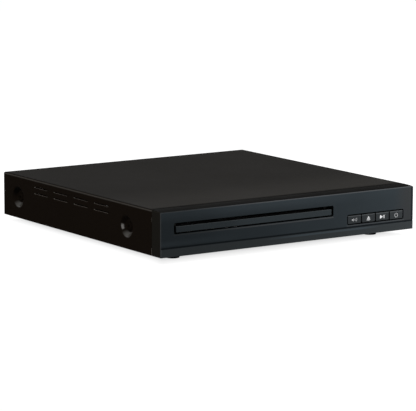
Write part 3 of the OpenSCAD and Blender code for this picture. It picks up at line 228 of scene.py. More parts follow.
class Shader(Nodes):
    """The node tree of a material or of the world while it is being built."""

    def __init__(self, owner: Any) -> None:
        """Empties the owner's tree.

        Args:
            owner: a world, or the name of a new material.
        """
        self.owner = bpy.data.materials.new(owner) if isinstance(owner, str) else owner
        self.owner.use_nodes = True
        super().__init__(self.owner.node_tree)
        self.tree.nodes.clear()

    def node(self, kind: str, settings: dict[str, Any] | None = None,
             inputs: dict[Any, Any] | None = None, out: Any = 0) -> Wire:
        """Adds one node and returns one of its outputs, by name or number."""
        return Wire(self, self.add(kind, settings, inputs).outputs[out])

    def split(self, kind: str, inputs: dict[Any, Any] | None = None,
              names: Sequence[Any] = (0, 1, 2)) -> tuple[Wire, ...]:
        """Adds one node and returns several of its outputs, by name or number."""
        outputs = self.add(kind, None, inputs).outputs
        return tuple(Wire(self, outputs[name]) for name in names)

    def place(self) -> Wire:
        """Object coordinates in metres."""
        return self.node("ShaderNodeTexCoord", out="Object")

    def axes(self) -> tuple[Wire, ...]:
        """The three object coordinates, each by itself."""
        return self.split("ShaderNodeSeparateXYZ", {0: self.place()})

    def facing(self) -> tuple[Wire, ...]:
        """The three parts of the surface's own normal."""
        normal = self.node("ShaderNodeNewGeometry", out="Normal")
        return self.split("ShaderNodeSeparateXYZ", {0: normal})

    def seen(self) -> Wire:
        """Tells the rays that show the background: direct, in reflections and through glass.

        Returns:
            1 for those rays, otherwise 0.
        """
        names = ("Is Camera Ray", "Is Glossy Ray", "Is Transmission Ray")
        direct, glossy, through = self.split("ShaderNodeLightPath", names=names)
        return direct.largest(glossy).largest(through)

    def noise(self, scale: float, detail: float = 3.0, rough: float = 0.55,
              stretch: Sequence[float] = (1, 1, 1)) -> Wire:
        """Cloudy noise.

        Args:
            scale: how fine the noise is, per metre.
            detail: number of finer layers.
            rough: strength of those layers.
            stretch: factor along each axis.

        Returns:
            The noise, from 0 to 1.
        """
        mapping = {"Vector": self.place(), "Scale": tuple(stretch)}
        where = self.node("ShaderNodeMapping", None, mapping)
        inputs = {"Vector": where, "Scale": scale, "Detail": detail, "Roughness": rough}
        return self.node("ShaderNodeTexNoise", None, inputs)

    def blend(self, share: Any, first: Any, second: Any) -> Wire:
        """Mixes two colours.

        Args:
            share: how much of the second colour, from 0 to 1.
            first: a colour or a wire.
            second: a colour or a wire.

        Returns:
            The mixed colour.
        """
        inputs = {MIX_SHARE: share, MIX_FIRST: first, MIX_SECOND: second}
        return self.node("ShaderNodeMix", {"data_type": "RGBA"}, inputs, out=MIX_RESULT)

    def coats(self, ground: Any, coats: Iterable[tuple[Any, Any]]) -> Wire:
        """Lays colours over a ground one after another.

        Args:
            ground: the first colour or wire.
            coats: pairs of a mask from 0 to 1 and the colour that it lets through.

        Returns:
            The last colour.
        """
        for share, colour in coats:
            ground = self.blend(share, ground, colour)
        return ground

    def bump(self, height: Wire, depth: float, strength: float = 1.0) -> Wire:
        """Surface relief from a height of 0 to 1.

        Args:
            height: the height.
            depth: what a height of 1 stands for, in metres.
            strength: how strongly it shows.

        Returns:
            The normal.
        """
        inputs = {"Height": height, "Distance": depth, "Strength": strength}
        return self.node("ShaderNodeBump", None, inputs, out="Normal")

    def finish(self, changing: dict[str, Any], fixed: dict[str, Any]) -> bpy.types.Material:
        """Ends the material in a Principled shader.

        Args:
            changing: sockets that change over the surface.
            fixed: sockets with constants only.

        Returns:
            The material.
        """
        last = self.node("ShaderNodeBsdfPrincipled", None, {**fixed, **changing})
        self.add("ShaderNodeOutputMaterial", None, {"Surface": last})
        return self.owner


# ---------------------------------------------------------------- finishes


@dataclass(frozen=True)
class CoverPaint:
    """Satin black baking paint on folded steel, a little browner and darker on the upright sides.
    Much of its colour is painted light and shade: the darker sides, a lighter top towards the
    front, a painted shadow along the seam, a painted highlight on the fold with painted shade
    beside it, painted shade, a lit crescent and a glint in the dimples, painted shade and lit lips
    in the vents, and lit slivers of the cut edge.
    """

    name: str = "cover_paint"
    top: Colour = (0.0150, 0.0142, 0.0132)
    # Browner than the top, and darker as painted shade on the upright sides.
    side: Colour = (0.0105, 0.0074, 0.0052)
    # Painted highlight along the fold, and painted shade on the top beside it.
    fold: Colour = (0.055, 0.050, 0.044)
    beside_fold: Colour = (0.0062, 0.0058, 0.0054)
    # Painted shadow on the top along the seam with the front.
    seam: Colour = (0.0036, 0.0034, 0.0031)
    # Painted shade, a painted lit crescent and a painted glint in the dimples.
    hollow: Colour = (0.0032, 0.0026, 0.0022)
    lit_hollow: Colour = (0.044, 0.040, 0.035)
    glint: Colour = (0.20, 0.19, 0.18)
    # Painted highlights on the vents' lower lips and rear ends.
    lip_low: Colour = (0.104, 0.088, 0.077)
    lip_end: Colour = (0.22, 0.205, 0.185)
    # Bare cut edge, bright only at some heights: partly real steel, partly painted highlight.
    cut_edge: Colour = (0.30, 0.28, 0.25)
    grain: float = 5200.0
    grain_depth: float = 0.012 * MM
    roughness: float = 0.6
    bowl_gloss: float = 0.2
    specular: float = 0.002
    shine: float = 0.5
    speck_share: float = 0.3
    half_width: float = HALF_WIDTH
    height: float = HEIGHT
    start: float = -103.95 * MM
    dimple_height: float = DIMPLE_HEIGHT
    # Drop below the dimples' middle of the line under which the painted lit crescent lies.
    shade_drop: float = 3.3 * MM
    vents: Point = mm(-46.5, 63.0)
    # Depths over which the top turns lighter towards the front, as painted light.
    front_light: Point = mm(-92.0, -22.0)
    seam_fade: Point = mm(1.2, 6.2)
    below_bend: float = 2.0 * MM
    bend_edges: tuple[float, ...] = mm(-1.6, -1.1, -0.6, -0.3)
    cut_heights: tuple[float, ...] = mm(10.5, 29.0, 32.5)
    skin: float = 0.05 * MM
    shade_edge: Point = mm(-0.4, 0.2)
    side_edge: Point = mm(-0.9, -0.2)
    bowl_edge: Point = mm(-0.6, -0.3)
    fold_edge: Point = mm(-2.6, -1.5)
    glint_edge: Point = mm(-2.4, -1.4)

    def beside(self, x: Wire, edge: Point) -> Wire:
        """1 near an upright side and 0 further in, across an edge that counts from the side."""
        return x.size().ramp(*(self.half_width + place for place in edge))

    def make(self) -> bpy.types.Material:
        """Builds the material.

        Returns:
            The material.
        """
        s = Shader(self.name)
        x, y, z = s.axes()
        _, ny, nz = s.facing()
        cloud = s.noise(18.0, 4.0)
        grain = s.noise(self.grain, 2.0, 0.6)
        speck = s.noise(2300.0, 1.0).ramp(0.68, 0.74)

        below_bend = z.under(self.height - self.below_bend)
        among_vents = y.within(*self.vents)
        bowl = (1.0 - self.beside(x, self.bowl_edge)) * below_bend * (1.0 - among_vents)
        bend = z.band(*(self.height + edge for edge in self.bend_edges))
        seam = y.fall(*(self.start + edge for edge in self.seam_fade))

        # Masks of painted light in the dimples: a lit crescent below the shade line, a glint on the
        # rear wall of the front dimple, and painted shade in the upper part.
        shade = self.dimple_height - self.shade_drop
        raised = (nz * 0.9 + ny * 0.42).ramp(0.06, 0.48)
        raised = raised * z.fall(*(shade + edge for edge in self.shade_edge))
        glint_mask = (-ny).ramp(0.56, 0.68) * (nz - 0.10).size().fall(0.08, 0.26)
        glint_mask = glint_mask * y.under(0.0) * self.beside(x, self.glint_edge)
        dark = (0.0 - nz * 0.8 - ny * 0.5).ramp(0.25, 0.64) * y.ramp(-0.02, 0.02, 0.5, 1.0)

        lip = x.size().under(self.half_width - self.skin) * below_bend * among_vents
        low, high_start, high_end = self.cut_heights
        sliver = z.under(low).largest(z.within(high_start, high_end) * 0.4)
        cut = y.under(self.start + self.skin) * (-ny).over(0.9) * sliver

        ground = s.blend(cloud.ramp(0.3, 0.7), toned(self.top, 0.92), toned(self.top, 0.98))
        colour = s.coats(ground, [
            # Painted light: the top lighter towards the front.
            (y.fall(*self.front_light), toned(self.top, 1.48)),
            # Painted shadow along the seam at the front of the top.
            (seam, self.seam),
            # Painted shade on the top beside the fold.
            (self.beside(x, self.fold_edge), self.beside_fold),
            # Side colour on the upright sides and in the dimples: browner, and darker as painted
            # shade.
            (self.beside(x, self.side_edge).largest(bowl), self.side),
            # Painted highlight along the lower half of the fold.
            (bend, self.fold),
            (speck * self.speck_share, toned(self.top, 1.5)),
            # Painted shade in the upper part of the dimples, a painted lit crescent in the lower
            # part and a painted glint.
            (bowl * dark, self.hollow),
            (bowl * raised, self.lit_hollow),
            (bowl * glint_mask, self.glint),
            # Painted shade inside the vents, painted highlights on their lower lips and rear ends.
            (lip, toned(self.side, 0.85)),
            (lip * nz.ramp(0.2, 0.5), self.lip_low),
            (lip * (nz * 0.6 - ny * 0.8).ramp(0.55, 0.85), self.lip_end),
            # Bare steel cut edge at the front, shown only in slivers at given heights: partly real,
            # partly painted highlight.
            (cut, self.cut_edge),
        ])
        rough = cloud.ramp(0.2, 0.8, self.roughness - 0.04, self.roughness + 0.05)
        changing = {
            "Base Color": colour,
            "Roughness": rough - bowl * self.bowl_gloss,
            "Coat Weight": (bowl * raised).largest(bowl * glint_mask) * self.shine,
            "Normal": s.bump(grain, self.grain_depth, 0.5),
        }
        return s.finish(changing, {"Specular IOR Level": self.specular, "Coat Roughness": 0.22})


@dataclass(frozen=True)
class MouldedPlastic:
    """Moulded plastic with fine spark-eroded grain.

    A finish with an edge colour belongs to the front and carries painted light and shade: painted
    shade towards its left end, a painted lighter middle, painted shade below and behind its rounded
    edges and painted highlights in the edge colour on edges facing up and right, and a crown tells
    the heights of a painted lit line and of a painted shadow above.
    """

    name: str
    colour: Colour
    roughness: float = 0.42
    specular: float = 0.3
    grain: float = 3600.0
    grain_depth: float = 0.012 * MM
    mottle: float = 0.08
    # Colour of the painted highlights on the front's edges.
    edge: Colour | None = None
    crown: Point | None = None
    left_shade: Point = mm(-100.0, -55.0)
    middle_light: tuple[float, ...] = mm(-55.0, -35.0, 0.0, 20.0)
    flank: Point = mm(0.4, 0.7)

    def front_coats(self, s: Shader) -> list[tuple[Wire, Colour]]:
        """Coats of painted light and shade of a finish on the front.

        Args:
            s: the shader.

        Returns:
            Masks and colours.
        """
        x, y, z = s.axes()
        nx, _, nz = s.facing()
        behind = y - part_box("tray_door")[0].y
        # Painted shade towards the left, painted light in the middle, painted shade on edges facing
        # down and left, painted highlights on edges facing up and right.
        coats = [
            (x.fall(*self.left_shade), toned(self.colour, 0.82)),
            (x.band(*self.middle_light), toned(self.colour, 1.16)),
            ((-nz).largest(-nx).ramp(0.15, 0.5), toned(self.colour, 0.15)),
            (nz.ramp(0.25, 0.7).largest(nx.ramp(0.4, 0.8)), self.edge),
        ]
        if self.crown:
            line, shadow = self.crown
            # Painted highlight line and painted shadow above it.
            coats += [(z.ramp(line - 0.1 * MM, line + 0.1 * MM) * 0.7, self.edge),
                      (z.over(shadow), toned(self.colour, 0.12))]
        # Painted shade on the walls behind the front.
        return coats + [(behind.ramp(*self.flank), toned(self.colour, 0.1))]

    def make(self) -> bpy.types.Material:
        """Builds the material.

        Returns:
            The material.
        """
        s = Shader(self.name)
        cloud = s.noise(26.0, 4.0)
        grain = s.noise(self.grain, 3.0, 0.6)
        dark, light = (toned(self.colour, 1 + k * self.mottle) for k in (-1, 1))
        coats = [(cloud.ramp(0.3, 0.7), light),
                 (grain.ramp(0.55, 0.8) * 0.3, toned(self.colour, 1.3))]
        tone = s.coats(dark, coats + (self.front_coats(s) if self.edge else []))
        changing = {
            "Base Color": tone,
            "Roughness": cloud.ramp(0.25, 0.75, self.roughness - 0.05, self.roughness + 0.05),
            "Normal": s.bump(grain, self.grain_depth, 0.6),
        }
        return s.finish(changing, {"Specular IOR Level": self.specular})


@dataclass(frozen=True)
class BezelPlastic:
    """Blue-grey moulded front whose curved top band turns brown and darker. Much of its colour is
    painted light and shade: painted shade towards the left, above the groove, in the groove, at the
    right edge and corner and inside the openings, painted light towards the top, and painted
    highlights on the strip, below the openings, on edges facing up and on the left corner.
    """

    name: str = "bezel_plastic"
    face: Colour = (0.0280, 0.0350, 0.0400)
    strip: Colour = (0.0360, 0.0414, 0.0442)
    right_end: Colour = (0.0335, 0.0360, 0.0380)
    band: Colour = (0.0016, 0.0015, 0.0013)
    side: Colour = (0.0150, 0.0138, 0.0112)
    # Colour of the painted highlights on edges, lips and the left corner, dimmer towards the left.
    edge: Colour = (0.0620, 0.0660, 0.0700)
    dull_edge: Colour = (0.0260, 0.0290, 0.0310)
    roughness: float = 0.5
    specular: float = 0.003
    grain: float = 4200.0
    grain_depth: float = 0.010 * MM
    half_width: float = HALF_WIDTH
    corner: float = 1.5 * MM
    left_shade: Point = mm(-98.0, -34.0)
    upper_face: Point = mm(14.5, 18.0)
    lower_face: Point = mm(11.8, 14.0)
    high_face: Point = mm(28.0, 36.5)
    high_fade: Point = mm(-5.0, 70.0)
    right_fade: Point = mm(92.0, 108.0)
    end_line: Point = mm(110.4, 110.8)
    strip_top: float = 11.2 * MM
    strip_light: tuple[float, ...] = mm(9.0, 9.4, 10.4, 10.7)
    strip_light_x: tuple[float, ...] = mm(-30.0, 10.0, 60.0, 85.0)
    edge_light: Point = mm(-110.0, -10.0)
    slot_light: tuple[float, ...] = mm(19.9, 20.1, 20.8, 21.0)
    slot_x: Point = mm(-102.5, 38.5)
    window_light: tuple[float, ...] = mm(12.2, 12.4, 13.0, 13.2)
    window_x: Point = mm(50.5, 104.0)
    groove: tuple[float, ...] = mm(10.8, 11.0, 11.9, 12.2)
    # Heights and depths of the painted shade inside the openings.
    walls: Point = mm(12.3, 34.5)
    wall_start: Point = mm(0.02, 0.08)
    upright: Point = mm(-0.6, -0.1)
    band_start: Point = mm(0.7, 1.3)

    def make(self) -> bpy.types.Material:
        """Builds the material.

        Returns:
            The material.
        """
        s = Shader(self.name)
        x, y, z = s.axes()
        nx, _, nz = s.facing()
        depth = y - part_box("tray_door")[0].y
        corner = x.size().over(self.half_width - self.corner)
        cloud = s.noise(20.0, 4.0)
        grain = s.noise(self.grain, 3.0, 0.6)

        shade = x.fall(*self.left_shade)
        # Painted light: the face lighter towards its top, most in the middle and less where the
        # left is shaded.
        high = z.ramp(*self.high_face) * x.ramp(*self.high_fade, 1.0, 0.2) * (1.0 - shade * 0.55)
        # Painted highlight colour, dimmer towards the left.
        edge = s.blend(x.ramp(*self.edge_light), self.dull_edge, self.edge)
        inner = depth.ramp(*self.wall_start) * z.within(*self.walls) * (1.0 - corner)
        upright = x.size().ramp(*(self.half_width + inset for inset in self.upright))

        ground = s.blend(cloud.ramp(0.3, 0.7), toned(self.face, 0.94), toned(self.face, 1.06))
        tone = s.coats(ground, [
            # Painted shade: darker towards the left, and just above the groove.
            (shade * z.ramp(*self.upper_face), toned(self.face, 0.77)),
            (shade * z.fall(*self.lower_face), toned(self.face, 0.72)),
            # Painted light towards the top of the face.
            (high, toned(self.face, 1.55)),
            (x.ramp(*self.right_fade), self.right_end),
            # Painted shade: a dark line along the right edge.
            (x.ramp(*self.end_line), toned(self.face, 0.45)),
            (z.under(self.strip_top), self.strip),
            # Painted highlights: on the strip's top, below the slot and the window, and on edges
            # that face up.
            (z.band(*self.strip_light) * x.band(*self.strip_light_x), toned(self.face, 1.75)),
            (z.band(*self.slot_light) * x.within(*self.slot_x), edge),
            (z.band(*self.window_light) * x.within(*self.window_x) * 0.6, edge),
            (nz.ramp(0.25, 0.7), edge),
            # Painted shade in the groove.
            (z.band(*self.groove), toned(self.face, 0.42)),
            # Painted highlight on the rounded left corner and painted shade on the right one.
            ((-nx).ramp(0.35, 0.75) * corner, toned(self.edge, 0.95)),
            (nx.ramp(0.15, 0.5) * corner, toned(self.face, 0.35)),
            # Painted shade on the walls inside the openings.
            (inner, toned(self.face, 0.05)),
            (depth.ramp(*self.band_start), s.blend(upright, self.band, self.side)),
        ])
        changing = {
            "Base Color": tone,
            "Roughness": cloud.ramp(0.25, 0.75, self.roughness - 0.04, self.roughness + 0.05),
            "Normal": s.bump(grain, self.grain_depth, 0.5),
        }
        return s.finish(changing, {"Specular IOR Level": self.specular})


@dataclass(frozen=True)
class BrushedMetal:
    """Plated or rolled metal with fine lines along one axis."""

    name: str
    colour: Colour
    roughness: float = 0.32
    along: Sequence[float] = (1, 30, 30)
    lines: float = 260.0
    line_depth: float = 0.006 * MM
    spots: float = 0.12

    def make(self) -> bpy.types.Material:
        """Builds the material.

        Returns:
            The material.
        """
        s = Shader(self.name)
        line = s.noise(self.lines, 5.0, 0.6, self.along)
        cloud = s.noise(60.0, 3.0)
        light = tuple(min(1.0, c) for c in toned(self.colour, 1.12))
        tone = s.coats(toned(self.colour, 1 - self.spots), [
            (cloud.ramp(0.35, 0.7), self.colour),
            (line.ramp(0.45, 0.6) * 0.25, light),
        ])
        changing = {
            "Base Color": tone,
            "Roughness": line.ramp(0.3, 0.7, self.roughness - 0.08, self.roughness + 0.1),
            "Normal": s.bump(line, self.line_depth, 0.5),
        }
        return s.finish(changing, {"Metallic": 1.0})


@dataclass(frozen=True)
class Rubber:
    """Matt rubber with a dusty bloom."""

    name: str
    colour: Colour = (0.012, 0.012, 0.012)
    bloom: float = 0.018
    specular: float = 0.2

    def make(self) -> bpy.types.Material:
        """Builds the material.

        Returns:
            The material.
        """
        s = Shader(self.name)
        bloom = s.noise(320.0, 5.0, 0.65)
        dusty = tuple(c + self.bloom for c in self.colour)
        changing = {
            "Base Color": s.blend(bloom.ramp(0.45, 0.75) * 0.5, self.colour, dusty),
            "Roughness": bloom.ramp(0.3, 0.7, 0.72, 0.88),
            "Normal": s.bump(s.noise(2600.0, 3.0), 0.02 * MM, 0.6),
        }
        return s.finish(changing, {"Specular IOR Level": self.specular})


@dataclass(frozen=True)
class CircuitBoard:
    """Solder mask with copper tracks, pads and vias showing through."""

    name: str = "circuit_board"
    mask: Colour = (0.010, 0.065, 0.026)
    track: Colour = (0.022, 0.125, 0.050)
    pad: Colour = (0.62, 0.60, 0.54)
    pitch: float = 2.4 * MM
    track_share: float = 0.32
    wander: float = 3.0
    via_share: float = 0.86
    via_area: float = 0.035
    relief: float = 0.04 * MM
    specular: float = 0.45

    def make(self) -> bpy.types.Material:
        """Builds the material.

        Returns:
            The material.
        """
        s = Shader(self.name)
        x, y, z = (axis / self.pitch for axis in s.axes())
        across = (x + s.noise(90.0, 2.0) * self.wander + z).wrap().under(self.track_share)
        along = (y + s.noise(70.0, 2.0) * self.wander).wrap().under(self.track_share)
        region = s.noise(45.0, 1.0).over(0.5)
        tracks = across * region + along * (1.0 - region)
        cell = s.node("ShaderNodeCombineXYZ", None, {0: x.floor(), 1: y.floor(), 2: 0.0})
        chance = s.node("ShaderNodeTexWhiteNoise", {"noise_dimensions": "2D"}, {"Vector": cell},
                        "Value")
        hole_x, hole_y = ((axis.wrap() - 0.5).size() for axis in (x, y))
        vias = (hole_x * hole_x + hole_y * hole_y).under(self.via_area)
        vias = vias * chance.over(self.via_share)
        changing = {
            "Base Color": s.coats(self.mask, [(tracks, self.track), (vias, self.pad)]),
            "Roughness": vias.ramp(0.0, 1.0, 0.32, 0.42),
            "Metallic": vias,
            "Normal": s.bump(tracks, self.relief, 0.6),
        }
        return s.finish(changing, {"Specular IOR Level": self.specular})


@dataclass(frozen=True)
class Banded:
    """Plastic film or sleeve with bands across one axis, as on ribbons and capacitor sleeves."""

    name: str
    ground: Colour
    band: Colour
    pitch: float
    share: float
    axis: int = 0
    roughness: float = 0.35
    relief: float = 0.03 * MM
    specular: float = 0.5

    def make(self) -> bpy.types.Material:
        """Builds the material.

        Returns:
            The material.
        """
        s = Shader(self.name)
        band = (s.axes()[self.axis] / self.pitch).wrap().under(self.share)
        cloud = s.noise(150.0, 3.0)
        coats = [(cloud.ramp(0.3, 0.7), self.ground), (band, self.band)]
        changing = {
            "Base Color": s.coats(toned(self.ground, 0.92), coats),
            "Roughness": cloud.ramp(0.2, 0.8, self.roughness - 0.06, self.roughness + 0.08),
            "Normal": s.bump(band, self.relief, 0.5),
        }
        return s.finish(changing, {"Specular IOR Level": self.specular})


@dataclass(frozen=True)
class LensGlass:
    """Coated glass, blue with cloudy patches of violet."""

    name: str = "lens_glass"
    blue: Colour = (0.55, 0.62, 0.85)
    violet: Colour = (0.70, 0.60, 0.92)
    ior: float = 1.52

    def make(self) -> bpy.types.Material:
        """Builds the material.

        Returns:
            The material.
        """
        s = Shader(self.name)
        cloud = s.noise(900.0, 2.0)
        changing = {
            "Base Color": s.blend(cloud.ramp(0.4, 0.6), self.blue, self.violet),
            "Roughness": cloud.ramp(0.3, 0.7, 0.02, 0.06),
        }
        fixed = {"IOR": self.ior, "Transmission Weight": 0.7, "Coat Weight": 0.5}
        return s.finish(changing, fixed)


@dataclass(frozen=True)
class PrintInk:
    """Light grey screen print with slightly uneven cover."""

    name: str = "print_ink"
    colour: Colour = (0.58, 0.59, 0.60)
    thin: float = 0.8
    specular: float = 0.3

    def make(self) -> bpy.types.Material:
        """Builds the material.

        Returns:
            The material.
        """
        s = Shader(self.name)
        cover, thin = s.noise(5000.0, 3.0), toned(self.colour, self.thin)
        changing = {
            "Base Color": s.blend(cover.ramp(0.3, 0.75), self.colour, thin),
            "Roughness": cover.ramp(0.2, 0.8, 0.45, 0.6),
        }
        return s.finish(changing, {"Specular IOR Level": self.specular})


class Finishes:
    """All materials of the player, made once and handed out by name."""

    def __init__(self) -> None:
        """Builds every finish."""
        plastic, metal = MouldedPlastic, BrushedMetal
        light_grain = {"specular": 0.45, "grain": 1800.0, "grain_depth": 0.01 * MM}
        recipes = [
            CoverPaint(),
            BezelPlastic(),
            # Edge colours are painted highlights, and the key's crown gives a painted lit line and
            # a painted shadow above it.
            plastic("door_plastic", (0.0285, 0.0355, 0.0398), 0.42, 0.03,
                    edge=(0.055, 0.060, 0.064)),
            plastic("key_plastic", (0.0280, 0.0316, 0.0340), 0.42, 0.03,
                    edge=(0.085, 0.091, 0.096), crown=mm(19.3, 19.9)),
            plastic("tray_plastic", (0.0125, 0.0125, 0.0132), 0.5, 0.25, 2800.0, 0.02 * MM),
            plastic("loader_plastic", (0.0065, 0.0065, 0.0068), 0.5, 0.12),
            plastic("turntable_plastic", (0.013, 0.013, 0.014), 0.35, 0.4),
            plastic("pickup_plastic", (0.016, 0.016, 0.018), 0.4, 0.4),
            plastic("gear_plastic", (0.70, 0.67, 0.58), 0.4, mottle=0.03, **light_grain),
            plastic("switch_plastic", (0.010, 0.010, 0.011), 0.4, 0.4),
            plastic("chip_plastic", (0.012, 0.012, 0.013), 0.5, 0.35, 6000.0, 0.02 * MM),
            plastic("connector_plastic", (0.66, 0.63, 0.52), 0.4, mottle=0.04, **light_grain),
            plastic("socket_black", (0.0105, 0.0105, 0.0108), 0.42, 0.35),
            plastic("jack_white", (0.72, 0.71, 0.68), 0.35, mottle=0.03, **light_grain),
            plastic("jack_red", (0.45, 0.018, 0.014), 0.35, mottle=0.04, **light_grain),
            plastic("jack_orange", (0.62, 0.17, 0.012), 0.35, mottle=0.04, **light_grain),
            plastic("power_parts", (0.42, 0.30, 0.05), 0.45, 0.4),
            plastic("black_screws", (0.0112, 0.0080, 0.0058), 0.7, 0.0),
            plastic("panel_paint", (0.0115, 0.0110, 0.0108), 0.45, 0.3, 5200.0, 0.01 * MM),
            Rubber("foot_rubber", (0.0015, 0.0015, 0.0015), 0.003, 0.02),
            Rubber("belt_rubber", (0.016, 0.016, 0.016)),
            metal("zinc_sheet", (0.60, 0.61, 0.62), 0.34),
            metal("screws", (0.70, 0.70, 0.71), 0.28, (8, 8, 8)),
            metal("motor_steel", (0.68, 0.68, 0.70), 0.3, (30, 30, 1)),
            metal("shaft_steel", (0.76, 0.76, 0.78), 0.16, (30, 1, 30)),
            metal("brass", (0.72, 0.50, 0.20), 0.26, (8, 8, 8)),
            metal("jack_metal", (0.78, 0.75, 0.68), 0.24, (30, 1, 30)),
            metal("socket_metal", (0.66, 0.66, 0.67), 0.28, (1, 30, 30)),
            metal("heat_sink", (0.05, 0.05, 0.055), 0.45, (30, 1, 30)),
            CircuitBoard(),
            Banded("capacitor", (0.010, 0.012, 0.035), (0.45, 0.47, 0.52), 8.3 * MM, 0.16, 1),
            Banded("ribbon", (0.72, 0.71, 0.66), (0.50, 0.36, 0.16), 1.0 * MM, 0.55, 0, 0.3),
            Banded("harness", (0.38, 0.016, 0.012), (0.02, 0.02, 0.02), 2.0 * MM, 0.5, 1),
            LensGlass(),
            PrintInk(),
            PrintInk("faint_ink", (0.46, 0.465, 0.47)),
            PrintInk("bright_ink", (0.93, 0.94, 0.95)),
        ]
        self.made = {recipe.name: recipe.make() for recipe in recipes}

    def __getitem__(self, name: str) -> bpy.types.Material:
        """The material of this name."""
        return self.made[name]


# ---------------------------------------------------------------- mesh tools


def arc(centre: Point, radius: float, start: float, end: float, steps: int) -> list[Point]:
    """Points of a flat arc.

    Args:
        centre: middle of the arc.
        radius: its radius.
        start: first angle in degrees.
        end: last angle in degrees.
        steps: number of pieces.

    Returns:
        The points from start to end.
    """
    turns = [math.radians(start + (end - start) * i / steps) for i in range(steps + 1)]
    return [(centre[0] + radius * math.cos(a), centre[1] + radius * math.sin(a)) for a in turns]


def circle(radius: float, steps: int = 48) -> list[Point]:
    """Points of a full circle round the origin."""
    turns = [2 * math.pi * i / steps for i in range(steps)]
    return [(radius * math.cos(a), radius * math.sin(a)) for a in turns]


def upright(a: float, b: float, height: float) -> tuple[float, float, float]:
    """Takes two flat coordinates and a height as they are."""
    return a, b, height


def placed(name: str, data: Any) -> bpy.types.Object:
    """Makes an object at the origin and links it to the scene.

    Args:
        name: name of the object.
        data: its mesh, lamp or camera.

    Returns:
        The object.
    """
    made = bpy.data.objects.new(name, data)
    bpy.context.scene.collection.objects.link(made)
    return made


def mesh_of(name: str, points: Iterable[Sequence[float]], faces: Sequence[Any]) -> bpy.types.Mesh:
    """Makes a mesh.

    Args:
        name: name of the mesh.
        points: its points.
        faces: numbers of each face's points.

    Returns:
        The mesh.
    """
    mesh = bpy.data.meshes.new(name)
    mesh.from_pydata([tuple(p) for p in points], [], faces)
    return mesh


def smooth(mesh: bpy.types.Mesh, sharp: float) -> None:
    """Shades a mesh smoothly, apart from edges above an angle in degrees."""
    mesh.polygons.foreach_set("use_smooth", [True] * len(mesh.polygons))
    mesh.set_sharp_from_angle(angle=math.radians(sharp))


def evaluated(piece: bpy.types.Object) -> bpy.types.Mesh:
    """A new mesh of the piece as its modifiers leave it."""
    graph = bpy.context.evaluated_depsgraph_get()
    return bpy.data.meshes.new_from_object(piece.evaluated_get(graph))


@contextmanager
def editing(mesh: bpy.types.Mesh) -> Iterator[bmesh.types.BMesh]:
    """Opens a mesh for editing and writes the result back.

    Args:
        mesh: the mesh.

    Yields:
        The mesh in its editable form.
    """
    work = bmesh.new()
    work.from_mesh(mesh)
    yield work
    work.to_mesh(mesh)
    work.free()


